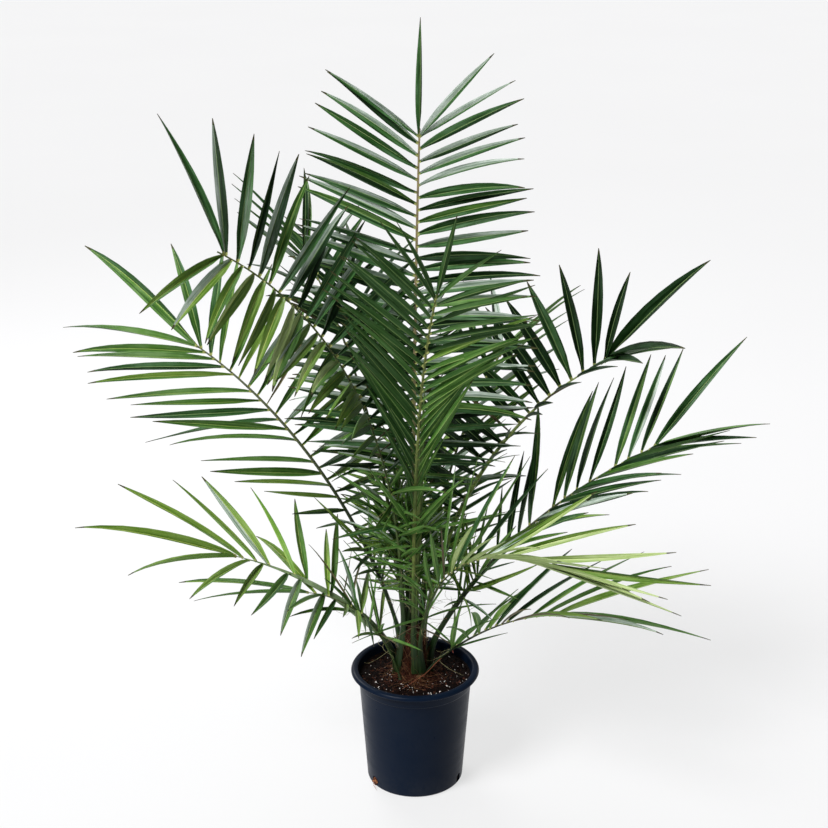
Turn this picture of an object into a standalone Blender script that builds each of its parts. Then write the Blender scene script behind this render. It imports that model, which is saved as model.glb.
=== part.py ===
"""Young Canary Island date palm in a round nursery pot.

Metres, +Z up. The origin is the middle of the pot's flat underside, and the plant's front
faces -Y. The pot holds a plug of potting mix, the short trunk stands on the mix, and every
frond grows from the trunk. A frond is one solid: a midrib that arches by a rule, with a
thin keeled blade for each leaflet.
"""

import math
import random
from dataclasses import dataclass

import bmesh
import bpy
import numpy as np
from mathutils import Matrix, Vector
from mathutils.bvhtree import BVHTree

# ---------------------------------------------------------------- driving dimensions, metres

CLEARANCE = 0.0003

POT_HEIGHT = 0.224
POT_FOOT_RADIUS = 0.0885
POT_SHOULDER_RADIUS = 0.1025
POT_SHOULDER_HEIGHT = 0.195
POT_BAND_STEP = 0.0022
POT_BAND_TOP_RADIUS = 0.107
POT_LIP_RADIUS = 0.1175
POT_LIP_DEPTH = 0.0085
POT_LIP_TURN = 0.0022
POT_WALL = 0.0026
POT_FLOOR = 0.004
POT_SIDES = 36

DRAIN_COUNT = 3
DRAIN_FIRST_ANGLE = 94.0
DRAIN_WIDTH = 0.013
DRAIN_HEIGHT = 0.017
DRAIN_SILL = 0.003

MIX_HEIGHT = 0.209
MIX_LUMP = 0.0022
MIX_LEVEL_RADIUS = 0.039
MIX_RINGS = 4

TRUNK_FOOT_RADIUS = 0.031
TRUNK_NECK_RADIUS = 0.0225
TRUNK_TIP_RADIUS = 0.009
TRUNK_HEIGHT = 0.098
TRUNK_FOOT_X = -0.006
TRUNK_LEAN_X = 0.004
TRUNK_LEAN_Y = 0.003
TRUNK_RIDGE = 0.0012
TRUNK_SIDES = 15
TRUNK_RINGS = 9

SPEAR_LENGTH = 0.46
SPEAR_RADIUS = 0.0065
SPEAR_LEAN_X = 0.018
SPEAR_LEAN_Y = -0.02

PETIOLE_FOOT_WIDTH = 0.0150
PETIOLE_WIDTH = 0.0078
PETIOLE_SHEATH_SHARE = 0.10
MIDRIB_TIP_WIDTH = 0.0030
MIDRIB_THICKNESS_SHARE = 0.72
MIDRIB_SIDES = 5
MIDRIB_STEP = 0.05
MIDRIB_LEAST_STEPS = 8

LEAFLET_WIDTH_SHARE = 0.070
LEAFLET_THICKNESS_SHARE = 0.0135
LEAFLET_LEAST_THICKNESS = 0.0012
LEAFLET_BELLY = 0.38
LEAFLET_LAST_ROOT = 0.985
LEAFLET_SHORTEST = 0.045
LEAFLET_TOUCH_MARGIN = 0.0007
LEAFLET_TURNS = ((0, 0), (0, 8), (0, -8), (8, 0), (-8, 0), (0, 16), (0, -16), (10, 12), (-10, 12), (10, -12))
LEAFLET_SHORTENINGS = (1.0, 0.8, 0.6, 0.42)
LEAF_COLOUR = (0.035, 0.11, 0.035)

UP = Vector((0.0, 0.0, 1.0))


@dataclass(frozen=True)
class Frond:
    """How one frond stands, arches and carries its leaflets. Angles are in degrees."""

    name: str
    heading: float
    sweep: float
    rise: float
    bow: float
    curl: float
    length: float
    petiole_share: float
    spacing: float
    roll_foot: float
    roll_tip: float
    leaflet: float
    tip_gain: float
    lift_left: float
    lift_right: float
    forward_foot: float
    forward_tip: float
    forward_end: float
    sag: float
    foot_height: float
    foot_radius: float
    end_leaflet: bool


FRONDS = (
    Frond("frond_tall_rear", 90, -14, 86, 3, 1.5, 0.94, 0.26, 0.0205, 9, 2,
          0.230, -0.12, 8, 15, 8, 24, 44, 0.09, 0.258, 0.012, True),
    Frond("frond_front", 273, 14, 87, 28, 1.7, 0.755, 0.37, 0.0205, -10, 25,
          0.217, -0.16, -8, 3, 78, 16, 61, 0.04, 0.258, 0.014, True),
    Frond("frond_upper_left", 189, 4, 89, 59, 1.8, 0.87, 0.38, 0.022, -1, 33,
          0.235, -0.07, 6, 28, 5, 5, 35, 0.16, 0.254, 0.015, False),
    Frond("frond_mid_left", 140, 0, 75, 59, 0.80, 0.745, 0.28, 0.027, -44, 40,
          0.250, 0.22, 0, -4, 4, 51, 72, 0.02, 0.248, 0.020, False),
    Frond("frond_low_left_front", 188, -10, 69, 66, 1.6, 0.24, 0.34, 0.023, 5, -4,
          0.186, 0.36, 15, 13, 5, 7, 79, 0.16, 0.222, 0.026, False),
    Frond("frond_low_left_back", 172, 25, 58, 37, 0.7, 0.375, 0.33, 0.026, 18, 8,
          0.191, 0.45, 4, 14, 5, 36, 73, 0.10, 0.240, 0.022, False),
    Frond("frond_upper_right", 26, -11, 82, 62, 1.35, 0.67, 0.32, 0.024, 10, -10,
          0.180, 0.42, 41, 31, 5, 2, 58, 0.15, 0.250, 0.015, False),
    Frond("frond_right", 16, -12, 68, 43, 0.71, 0.59, 0.32, 0.026, -24, -4,
          0.237, 0.04, 27, 17, 50, 44, 52, 0.08, 0.236, 0.024, False),
    Frond("frond_low_right_front", 301, 25, 84, 84, 1.33, 0.425, 0.26, 0.024, -3, -30,
          0.236, 0.33, 48, 32, 44, 76, 81, 0.0, 0.240, 0.020, False),
    Frond("frond_low_right", 352, -16, 44, 32, 1.4, 0.285, 0.26, 0.023, 28, -6,
          0.236, 0.22, 13, 22, 5, 64, 62, 0.16, 0.222, 0.026, False),
    Frond("frond_rear", 100, 10, 80, 62, 1.3, 0.78, 0.32, 0.023, 5, -5,
          0.20, 0.0, 22, 22, 5, 40, 60, 0.12, 0.246, 0.018, False),
    Frond("frond_rear_right", 66, -6, 76, 52, 1.3, 0.62, 0.32, 0.023, -5, 8,
          0.20, 0.1, 22, 22, 8, 42, 62, 0.12, 0.242, 0.021, False),
    Frond("frond_rear_left", 130, -2, 82, 40, 1.5, 0.78, 0.34, 0.023, 5, -8,
          0.20, 0.0, 20, 20, 5, 40, 60, 0.10, 0.254, 0.015, False),
    Frond("frond_low_rear", 78, 12, 56, 46, 1.3, 0.42, 0.30, 0.024, 5, -5,
          0.19, 0.25, 18, 18, 5, 45, 66, 0.14, 0.224, 0.026, False),
)


# ---------------------------------------------------------------- materials and mesh helpers

def painted(name, colour, roughness):
    """A plain material of one colour."""
    material = bpy.data.materials.new(name)
    material.use_nodes = True
    shader = material.node_tree.nodes["Principled BSDF"]
    shader.inputs["Base Color"].default_value = (*colour, 1.0)
    shader.inputs["Roughness"].default_value = roughness
    return material


def object_from(name, mesh_data, material=None):
    """A new object with its own mesh, from vertices and faces."""
    vertices, faces = mesh_data
    mesh = bpy.data.meshes.new(name)
    mesh.from_pydata(vertices, [], faces)
    mesh.validate()
    item = bpy.data.objects.new(name, mesh)
    if material:
        mesh.materials.append(material)
    return item


def linked(item):
    """Puts an object in the scene's own collection."""
    bpy.context.scene.collection.objects.link(item)
    return item


def guide(item):
    """Marks a helper that shapes another object and is no part of the plant."""
    item.hide_render = True
    item.display_type = "WIRE"
    return linked(item)


def tube(rings):
    """A closed tube through rings of as many points each, with a flat cap at both ends."""
    sides = len(rings[0])
    vertices = [point for ring in rings for point in ring]
    faces = [tuple(reversed(range(sides)))]
    for lower in range(0, len(vertices) - sides, sides):
        for k in range(sides):
            after = (k + 1) % sides
            faces.append((lower + k, lower + after, lower + sides + after))
            faces.append((lower + k, lower + sides + after, lower + sides + k))
    faces.append(tuple(range(len(vertices) - sides, len(vertices))))
    return vertices, faces


def spun(name, profile, sides, material):
    """A solid turned about +Z from a profile of (radius, height) points that starts and ends on the axis."""
    shape = bmesh.new()
    line = [shape.verts.new((radius, 0.0, height)) for radius, height in profile]
    edges = [shape.edges.new(pair) for pair in zip(line, line[1:])]
    bmesh.ops.spin(
        shape, geom=line + edges, cent=(0, 0, 0), axis=(0, 0, 1), angle=2 * math.pi, steps=sides, use_merge=True
    )
    bmesh.ops.remove_doubles(shape, verts=shape.verts, dist=1e-6)
    bmesh.ops.recalc_face_normals(shape, faces=shape.faces)
    mesh = bpy.data.meshes.new(name)
    shape.to_mesh(mesh)
    shape.free()
    mesh.materials.append(material)
    return linked(bpy.data.objects.new(name, mesh))


def boolean(item, operation, operand, solver="EXACT"):
    """Adds a Boolean with an object or with every object of a collection."""
    modifier = item.modifiers.new(operation.title(), "BOOLEAN")
    modifier.operation = operation
    modifier.solver = solver
    if isinstance(operand, bpy.types.Collection):
        modifier.operand_type = "COLLECTION"
        modifier.collection = operand
    else:
        modifier.object = operand


def apply_modifiers(item):
    """Turns an object's modifiers into its mesh."""
    depsgraph = bpy.context.evaluated_depsgraph_get()
    mesh = bpy.data.meshes.new_from_object(item.evaluated_get(depsgraph))
    item.modifiers.clear()
    item.data = mesh


# ---------------------------------------------------------------- pot and potting mix

def pot_outer_radius(height):
    """Outside radius of the pot's plain wall at a height."""
    share = height / POT_SHOULDER_HEIGHT
    return POT_FOOT_RADIUS + (POT_SHOULDER_RADIUS - POT_FOOT_RADIUS) * share


def pot_profile():
    """Half section of the pot: foot, wall, raised band, rolled lip, inside wall and floor."""
    foot_chamfer = 0.002
    band_foot = POT_SHOULDER_RADIUS + POT_BAND_STEP
    lip_low = POT_HEIGHT - POT_LIP_DEPTH
    lip_turn = POT_LIP_TURN
    inside = POT_BAND_TOP_RADIUS - POT_WALL
    return [
        (0.0, 0.0),
        (POT_FOOT_RADIUS - foot_chamfer, 0.0),
        (pot_outer_radius(foot_chamfer), foot_chamfer),
        (POT_SHOULDER_RADIUS, POT_SHOULDER_HEIGHT),
        (band_foot, POT_SHOULDER_HEIGHT + 0.0015),
        (POT_BAND_TOP_RADIUS, lip_low + 0.001),
        (POT_LIP_RADIUS - lip_turn, lip_low),
        (POT_LIP_RADIUS, lip_low + lip_turn),
        (POT_LIP_RADIUS, POT_HEIGHT - 2 * lip_turn),
        (POT_LIP_RADIUS - lip_turn, POT_HEIGHT - 0.0006),
        (POT_LIP_RADIUS - 2.2 * lip_turn, POT_HEIGHT),
        (inside + lip_turn, POT_HEIGHT),
        (inside, POT_HEIGHT - lip_turn),
        (pot_outer_radius(POT_SHOULDER_HEIGHT) - POT_WALL, POT_SHOULDER_HEIGHT),
        (pot_outer_radius(POT_FLOOR) - POT_WALL, POT_FLOOR),
        (0.0, POT_FLOOR),
    ]


def drain_cutter(angle):
    """A block that opens one drain slot through the wall, just above the floor."""
    top = DRAIN_SILL + DRAIN_HEIGHT
    depth = 4 * POT_WALL
    half = DRAIN_WIDTH / 2
    outline = [
        (-half, DRAIN_SILL),
        (half, DRAIN_SILL),
        (half, top - half / 2),
        (half / 2, top),
        (-half / 2, top),
        (-half, top - half / 2),
    ]
    turn = Matrix.Rotation(math.radians(angle), 4, "Z")
    middle = pot_outer_radius(DRAIN_SILL) - POT_WALL / 2
    rings = [[turn @ Vector((middle + reach, across, height)) for across, height in outline]
             for reach in (-depth / 2, depth / 2)]
    return guide(object_from(f"drain_cutter_{angle:.0f}", tube(rings)))


def build_pot():
    """The nursery pot with its drain slots."""
    plastic = painted("pot_plastic", (0.012, 0.017, 0.032), 0.42)
    pot = spun("pot", pot_profile(), POT_SIDES, plastic)
    cutters = [drain_cutter(DRAIN_FIRST_ANGLE + k * 360 / DRAIN_COUNT) for k in range(DRAIN_COUNT)]
    for cutter in cutters:
        boolean(pot, "DIFFERENCE", cutter)
    apply_modifiers(pot)
    for cutter in cutters:
        bpy.data.objects.remove(cutter)
    return pot


def mix_lump(radius, angle):
    """Height of a lump on the mix, none under the trunk and little at the wall."""
    wall = POT_SHOULDER_RADIUS - POT_WALL
    share = min(max((radius - MIX_LEVEL_RADIUS) / (wall - MIX_LEVEL_RADIUS), 0.0), 1.0)
    rolling = math.sin(3 * angle + 40 * radius) + 0.6 * math.sin(7 * angle - 90 * radius)
    return MIX_LUMP * rolling * share * (1.2 - share)


def build_mix():
    """The plug of potting mix that fills the pot to just under its lip."""
    mix_colour = painted("potting_mix", (0.035, 0.014, 0.009), 0.95)
    gap = CLEARANCE / math.cos(math.pi / POT_SIDES)
    foot = pot_outer_radius(POT_FLOOR) - POT_WALL - gap
    shoulder = POT_SHOULDER_RADIUS - POT_WALL - gap
    share = (MIX_HEIGHT - POT_SHOULDER_HEIGHT) / (POT_HEIGHT - POT_LIP_TURN - POT_SHOULDER_HEIGHT)
    brim = shoulder + (POT_BAND_TOP_RADIUS - POT_SHOULDER_RADIUS) * share
    rings = [brim + (MIX_LEVEL_RADIUS - brim) * k / MIX_RINGS for k in range(MIX_RINGS + 1)]
    profile = [(0.0, POT_FLOOR + CLEARANCE), (foot, POT_FLOOR + CLEARANCE), (shoulder, POT_SHOULDER_HEIGHT)]
    profile += [(radius, MIX_HEIGHT) for radius in rings] + [(0.0, MIX_HEIGHT)]
    mix = spun("potting_mix", profile, POT_SIDES, mix_colour)
    for vertex in mix.data.vertices:
        radius = math.hypot(vertex.co.x, vertex.co.y)
        if vertex.co.z > MIX_HEIGHT - MIX_LUMP and radius < brim - MIX_LUMP:
            vertex.co.z += mix_lump(radius, math.atan2(vertex.co.y, vertex.co.x))
    return mix


# ---------------------------------------------------------------- trunk and spear

def trunk_radius(share):
    """Trunk radius from the flare at its foot (0) to its rounded tip (1)."""
    flare = (TRUNK_FOOT_RADIUS - TRUNK_NECK_RADIUS) * (1 - share) ** 4
    shoulder = math.sqrt(max(1 - share ** 4, 0.0))
    return (TRUNK_NECK_RADIUS - TRUNK_TIP_RADIUS) * shoulder + TRUNK_TIP_RADIUS + flare


def trunk_axis(share):
    """A point on the trunk's leaning axis, at a share of its height."""
    return Vector((
        TRUNK_FOOT_X + TRUNK_LEAN_X * share,
        TRUNK_LEAN_Y * share,
        MIX_HEIGHT + CLEARANCE + TRUNK_HEIGHT * share,
    ))


def trunk_solid(name, grow):
    """The trunk, ridged by old leaf bases, or its outline grown on every side by a clearance."""
    rings = []
    for ring in range(TRUNK_RINGS):
        share = ring / (TRUNK_RINGS - 1)
        centre = trunk_axis(share)
        if ring in (0, TRUNK_RINGS - 1):
            centre.z += grow if ring else -grow
        points = []
        for k in range(TRUNK_SIDES):
            angle = 2 * math.pi * k / TRUNK_SIDES
            ridge = TRUNK_RIDGE * math.sin(5 * angle + 9 * share)
            radius = trunk_radius(share) + ridge + grow
            points.append(centre + Vector((radius * math.cos(angle), radius * math.sin(angle), 0.0)))
        rings.append(points)
    return object_from(name, tube(rings))


def build_spear():
    """The furled young leaf that stands up from the trunk's tip, four-sided and pointed."""
    foot = trunk_axis(1.0) + UP * CLEARANCE
    lean = Vector((SPEAR_LEAN_X, SPEAR_LEAN_Y, SPEAR_LENGTH))
    rings = []
    for share, fullness in ((0.0, 0.8), (0.3, 1.0), (0.7, 0.75), (1.0, 0.12)):
        centre = foot + lean * share
        radius = SPEAR_RADIUS * fullness
        rings.append([
            centre + Vector((radius * math.cos(k * math.pi / 3), radius * math.sin(k * math.pi / 3), 0.0))
            for k in range(6)
        ])
    return linked(object_from("spear", tube(rings), painted("spear_green", (0.19, 0.27, 0.06), 0.5)))


# ---------------------------------------------------------------- the rule of a frond

def smooth(share):
    """Eases from 0 to 1 with level ends."""
    share = min(max(share, 0.0), 1.0)
    return share * share * (3 - 2 * share)


def frame_at(frond, share):
    """Tangent, sideways and upward directions of the blade at a share of the midrib's length.

    The elevation falls by a power of the share, the heading swings evenly, and the blade rolls
    evenly about the tangent.
    """
    elevation = math.radians(frond.rise - frond.bow * share ** frond.curl)
    heading = math.radians(frond.heading + frond.sweep * share)
    roll = math.radians(frond.roll_foot + (frond.roll_tip - frond.roll_foot) * share)
    level = Vector((math.cos(heading), math.sin(heading), 0.0))
    tangent = level * math.cos(elevation) + UP * math.sin(elevation)
    aside = Vector((math.sin(heading), -math.cos(heading), 0.0))
    above = aside.cross(tangent)
    return tangent, aside * math.cos(roll) + above * math.sin(roll), above * math.cos(roll) - aside * math.sin(roll)


class Midrib:
    """The arched line of one frond, walked in even steps from its foot."""

    def __init__(self, frond):
        self.frond = frond
        self.steps = max(MIDRIB_LEAST_STEPS, round(frond.length / MIDRIB_STEP))
        heading = math.radians(frond.heading)
        at = trunk_axis((frond.foot_height - MIX_HEIGHT) / TRUNK_HEIGHT)
        at += Vector((math.cos(heading), math.sin(heading), 0.0)) * frond.foot_radius
        self.points = [at]
        for step in range(self.steps):
            tangent, _, _ = frame_at(frond, (step + 0.5) / self.steps)
            self.points.append(self.points[-1] + tangent * frond.length / self.steps)

    def point(self, share):
        """The place on the midrib at a share of its length."""
        place = min(share, 1.0) * self.steps
        lower = min(int(place), self.steps - 1)
        return self.points[lower].lerp(self.points[lower + 1], place - lower)

    def width(self, share):
        """Width of the stalk: a broad sheath at the foot, then an even taper to the tip."""
        size = math.sqrt(self.frond.length / 0.7)
        even = PETIOLE_WIDTH + (MIDRIB_TIP_WIDTH - PETIOLE_WIDTH) * share
        sheath = (PETIOLE_FOOT_WIDTH - PETIOLE_WIDTH) * (1 - smooth(share / PETIOLE_SHEATH_SHARE))
        return (even + sheath) * size

    def solid(self, grow=0.0):
        """Vertices and faces of the stalk and midrib, flat above and keeled below."""
        first_turn = math.pi / 2 - math.pi / MIDRIB_SIDES
        rings = []
        for ring in range(self.steps + 1):
            share = ring / self.steps
            _, aside, above = frame_at(self.frond, share)
            half = self.width(share) / 2 + grow
            high = half * MIDRIB_THICKNESS_SHARE + grow
            turns = [first_turn - 2 * math.pi * k / MIDRIB_SIDES for k in range(MIDRIB_SIDES)]
            rings.append([
                self.points[ring] + aside * half * math.cos(turn) + above * high * math.sin(turn) for turn in turns
            ])
        return tube(rings)


@dataclass
class Leaflet:
    """One leaflet's place on its midrib and the way it points. side is -1 left, 1 right, 0 at the end."""

    share: float
    side: int
    length: float
    forward: float
    lift: float


def leaflet_length(frond, blade_share):
    """Short at the blade's foot, soon full, and changed by the tip gain near the tip."""
    full = frond.leaflet * (1 + frond.tip_gain * blade_share ** 4)
    return full * (0.35 + 0.65 * smooth(blade_share / 0.3))


def leaflet_forward(frond, blade_share):
    """Angle that leaflets lean forward: an even change along the blade, and a quick one at its end."""
    even = frond.forward_foot + (frond.forward_tip - frond.forward_foot) * blade_share
    return even + (frond.forward_end - frond.forward_tip) * blade_share ** 8


def leaflets_of(frond, chance):
    """Every leaflet of a frond, pair by pair from the foot of the blade to its end."""
    blade = 1 - frond.petiole_share
    pairs = round(frond.length * blade / frond.spacing)
    for pair in range(pairs + 1):
        for side in (-1, 1):
            blade_share = min((pair + 0.25 * side * (pair < pairs)) / pairs, 1.0)
            if blade_share < 0:
                continue
            forward = leaflet_forward(frond, blade_share)
            lift = frond.lift_left if side < 0 else frond.lift_right
            yield Leaflet(
                share=frond.petiole_share + blade * blade_share,
                side=side,
                length=leaflet_length(frond, blade_share) * (1 + chance.uniform(-0.05, 0.05)),
                forward=forward + chance.uniform(-4, 4),
                lift=lift + chance.uniform(-5, 5),
            )
    if frond.end_leaflet:
        yield Leaflet(share=1.0, side=0, length=leaflet_length(frond, 1.0), forward=90.0, lift=0.0)


def leaflet_solid(midrib, leaflet, turn, shorten, grow=0.0):
    """Vertices and faces of a keeled blade: a point inside the midrib, a broad belly and a tip that sags."""
    frond = midrib.frond
    tangent, aside, above = frame_at(frond, leaflet.share)
    forward = math.radians(leaflet.forward + turn[0])
    lift = math.radians(leaflet.lift + turn[1])
    outward = aside * leaflet.side * math.cos(lift) + above * math.sin(lift)
    along = outward * math.cos(forward) + tangent * math.sin(forward)
    length = leaflet.length * shorten
    half = length * LEAFLET_WIDTH_SHARE / 2 + grow
    thick = max(length * LEAFLET_THICKNESS_SHARE, LEAFLET_LEAST_THICKNESS) + grow
    root = midrib.point(min(leaflet.share, LEAFLET_LAST_ROOT))
    belly = (along - UP * frond.sag * LEAFLET_BELLY).normalized()
    spread = aside if leaflet.side == 0 else tangent
    across = (spread - belly * spread.dot(belly)).normalized()
    face = across.cross(belly)
    if face.dot(above) < 0:
        face = -face
    centre = root + belly * length * LEAFLET_BELLY
    tip = root + (along - UP * frond.sag).normalized() * length
    vertices = [root, centre - across * half, centre + across * half, centre - face * thick, tip]
    faces = [(0, 1, 2), (0, 2, 3), (0, 3, 1), (4, 2, 1), (4, 3, 2), (4, 1, 3)]
    return vertices, faces


# ---------------------------------------------------------------- the crown

class Crown:
    """The solids placed so far, each with the frond that it belongs to."""

    def __init__(self):
        self.placed = []

    @staticmethod
    def box(vertices):
        """Lowest and highest corners of some vertices."""
        corners = np.array([tuple(vertex) for vertex in vertices])
        return corners.min(axis=0), corners.max(axis=0)

    def add(self, owner, solid):
        """Remembers a solid as in the way of every other frond's leaflets."""
        self.placed.append((owner, self.box(solid[0]), BVHTree.FromPolygons(*solid)))

    def is_free(self, owner, solid):
        """Whether a solid touches nothing that belongs to another frond."""
        low, high = self.box(solid[0])
        tree = BVHTree.FromPolygons(*solid)
        for other, (other_low, other_high), other_tree in self.placed:
            apart = other == owner or (low > other_high).any() or (high < other_low).any()
            if not apart and tree.overlap(other_tree):
                return False
        return True

    def fit(self, midrib, leaflet):
        """The first turn, or else shortening, of a leaflet that clears the other fronds, or None."""
        for shorten in LEAFLET_SHORTENINGS:
            if leaflet.length * shorten < LEAFLET_SHORTEST:
                continue
            for turn in LEAFLET_TURNS:
                fat = leaflet_solid(midrib, leaflet, turn, shorten, LEAFLET_TOUCH_MARGIN)
                if self.is_free(midrib.frond.name, fat):
                    return turn, shorten
        return None


def outward(item):
    """Turns every face of a closed mesh outwards."""
    shape = bmesh.new()
    shape.from_mesh(item.data)
    bmesh.ops.recalc_face_normals(shape, faces=shape.faces)
    shape.to_mesh(item.data)
    shape.free()
    return item


def build_frond(midrib, crown, trunk_clearance, chance):
    """Joins a midrib and its leaflets into one solid, cut clear of the trunk."""
    name = midrib.frond.name
    green = painted(f"{name}_green", LEAF_COLOUR, 0.5)
    frond = linked(outward(object_from(name, midrib.solid(), green)))
    blades = bpy.data.collections.new(f"{name}_leaflets")
    bpy.context.scene.collection.children.link(blades)
    for number, leaflet in enumerate(leaflets_of(midrib.frond, chance)):
        place = crown.fit(midrib, leaflet)
        if place is None:
            continue
        solid = leaflet_solid(midrib, leaflet, *place)
        crown.add(name, solid)
        blades.objects.link(outward(object_from(f"{name}_leaflet_{number}", solid, green)))
    boolean(frond, "UNION", blades)
    boolean(frond, "DIFFERENCE", trunk_clearance, "MANIFOLD")
    apply_modifiers(frond)
    for blade in list(blades.objects):
        bpy.data.objects.remove(blade)
    bpy.data.collections.remove(blades)
    return frond


def main():
    """Builds the pot, the mix, the trunk, the spear and every frond."""
    for item in list(bpy.data.objects):
        bpy.data.objects.remove(item)
    bark = painted("trunk_fibre", (0.16, 0.07, 0.035), 0.9)
    trunk = linked(outward(trunk_solid("trunk", 0.0)))
    trunk.data.materials.append(bark)
    clearance = guide(outward(trunk_solid("trunk_clearance", CLEARANCE)))
    crown = Crown()
    for item in (build_pot(), build_mix(), trunk, build_spear()):
        corners = [vertex.co.copy() for vertex in item.data.vertices]
        crown.add(None, (corners, [tuple(face.vertices) for face in item.data.polygons]))
    midribs = [Midrib(frond) for frond in FRONDS]
    for midrib in midribs:
        crown.add(midrib.frond.name, midrib.solid(LEAFLET_TOUCH_MARGIN))
    for seed, midrib in enumerate(midribs):
        build_frond(midrib, crown, clearance, random.Random(seed))
    bpy.data.objects.remove(clearance)


main()
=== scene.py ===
"""Looks of a young Canary Island date palm in a round nursery pot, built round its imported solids.

Metres, +Z up. The plant's front faces -Y. Every frond follows the same rule as its solid: a
midrib that arches evenly, with a keeled leaflet on each side at every step. Here the rule is
carried on to folded leaflets with veins, a yellow collar and a dry point, and to the sheaths,
spines and fibre round the short trunk. The pot, the mix and the trunk are turned or gridded
surfaces over their solids, with chips, perlite and roots laid on them.
"""

import logging
import math
import random
from dataclasses import dataclass, field
from enum import Enum

import bpy
import numpy as np
from mathutils.bvhtree import BVHTree
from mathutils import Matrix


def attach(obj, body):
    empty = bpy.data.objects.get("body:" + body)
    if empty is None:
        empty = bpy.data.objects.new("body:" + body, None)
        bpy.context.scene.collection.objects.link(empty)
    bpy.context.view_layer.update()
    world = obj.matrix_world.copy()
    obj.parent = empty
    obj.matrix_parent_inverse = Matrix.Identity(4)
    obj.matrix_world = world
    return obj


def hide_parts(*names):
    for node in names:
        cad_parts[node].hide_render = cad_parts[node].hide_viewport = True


Array = np.ndarray
Chance = np.random.Generator
Colour = tuple[float, float, float]
Piece = bpy.types.Object
Material = bpy.types.Material
Group = bpy.types.NodeTree
Node = bpy.types.Node
Socket = bpy.types.NodeSocket

log = logging.getLogger("palm")
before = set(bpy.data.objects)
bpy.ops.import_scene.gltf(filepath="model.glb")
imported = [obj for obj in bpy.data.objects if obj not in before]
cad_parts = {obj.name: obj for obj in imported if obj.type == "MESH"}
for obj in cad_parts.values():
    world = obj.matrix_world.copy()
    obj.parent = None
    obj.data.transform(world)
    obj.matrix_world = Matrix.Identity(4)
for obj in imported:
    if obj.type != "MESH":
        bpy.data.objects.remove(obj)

UP = np.array([0.0, 0.0, 1.0])
LEAST_RADIUS = 2e-5
WHITE = (1.0, 1.0, 1.0, 1.0)


# ---- arrays

def unit(vectors: Array) -> Array:
    """Vectors scaled to a length of one."""
    return vectors / np.maximum(np.linalg.norm(vectors, axis=-1, keepdims=True), 1e-12)


def smooth(share: Array) -> Array:
    """Eases from 0 to 1 with level ends: 3 s^2 - 2 s^3 of the clipped share."""
    share = np.clip(share, 0.0, 1.0)
    return share * share * (3 - 2 * share)


def around(radius: Array, angle: Array) -> Array:
    """Points (radius cos a, radius sin a, 0) round +Z."""
    return np.stack([radius * np.cos(angle), radius * np.sin(angle), 0 * angle], -1)


def bend(start: Array, middle: Array, end: Array, t: Array) -> Array:
    """A quadratic curve: (1 - t)^2 start + 2 t (1 - t) middle + t^2 end."""
    return (1 - t) ** 2 * start + 2 * t * (1 - t) * middle + t ** 2 * end


def ripple(points: Array, scale: float, waves: int, seed: int) -> Array:
    """A gently random height for each point: the mean of sine waves of random direction and phase.

    Args:
        points: places, shape (..., 3).
        scale: mean length of a wave, in metres.
        waves: how many waves are added.
        seed: start of the random numbers.

    Returns:
        Heights between about -1 and 1, shape (...).
    """
    chance = np.random.default_rng(seed)
    ways = unit(chance.normal(size=(waves, 3)))
    turns = ways * (2 * np.pi / scale) * chance.uniform(0.6, 1.7, (waves, 1))
    height = np.sin(points @ turns.T + chance.uniform(0, 2 * np.pi, waves)).sum(-1)
    return height / math.sqrt(waves / 2) / 1.6


# ---- surfaces

def linked(name: str, data: bpy.types.ID) -> Piece:
    """A new object in the scene, at the origin."""
    item = bpy.data.objects.new(name, data)
    bpy.context.scene.collection.objects.link(item)
    return item


@dataclass
class Surface:
    """Points, faces of three or four corners, corner UVs and a finish number a face.

    A face of three corners has -1 for its fourth.
    """

    points: Array
    faces: Array
    uv: Array
    finish: Array

    @staticmethod
    def joined(parts: list["Surface"]) -> "Surface":
        """Several surfaces as one, with their points counted on."""
        starts = np.cumsum([0] + [len(part.points) for part in parts[:-1]])
        faces = [np.where(part.faces < 0, -1, part.faces + start) for part, start in zip(parts, starts)]
        points, uv, finish = (np.concatenate([getattr(part, name) for part in parts])
                              for name in ("points", "uv", "finish"))
        return Surface(points, np.concatenate(faces), uv, finish)

    def wearing(self, finish: int) -> "Surface":
        """The same surface with one finish on every face."""
        return Surface(self.points, self.faces, self.uv, np.full(len(self.faces), finish))

    def sharing(self, items: int, finishes: list[int], shares: list[float], chance: Chance) -> "Surface":
        """The same surface, each of its items in one finish, dealt at random by the shares."""
        picked = chance.choice(finishes, items, p=shares)
        return Surface(self.points, self.faces, self.uv, np.repeat(picked, len(self.faces) // items))

    def to_object(
        self, name: str, materials: list[Material], sharp: float = 40.0,
    ) -> Piece:
        """Makes the mesh object, with only the materials that its faces wear.

        Args:
            name: the piece's name.
            materials: materials that the finish numbers count through.
            sharp: edges that turn by more than this, in degrees, stay crisp.

        Returns:
            The linked object, at the origin.
        """
        corner = self.faces >= 0
        loops = self.faces[corner]
        totals = corner.sum(axis=1)
        mesh = bpy.data.meshes.new(name)
        mesh.vertices.add(len(self.points))
        mesh.vertices.foreach_set("co", self.points.astype(np.float32).ravel())
        mesh.loops.add(len(loops))
        mesh.loops.foreach_set("vertex_index", loops.astype(np.int32))
        mesh.polygons.add(len(self.faces))
        mesh.polygons.foreach_set("loop_start", (np.cumsum(totals) - totals).astype(np.int32))
        worn, index = np.unique(self.finish, return_inverse=True)
        for number in worn:
            mesh.materials.append(materials[number])
        mesh.polygons.foreach_set("material_index", index.astype(np.int32))
        mesh.polygons.foreach_set("use_smooth", np.ones(len(self.faces), dtype=bool))
        mesh.uv_layers.new(name="UVMap").data.foreach_set("uv", self.uv[corner].astype(np.float32).ravel())
        mesh.update(calc_edges=True)
        mesh.validate()
        mesh.set_sharp_from_angle(angle=math.radians(sharp))
        return linked(name, mesh)


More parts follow.
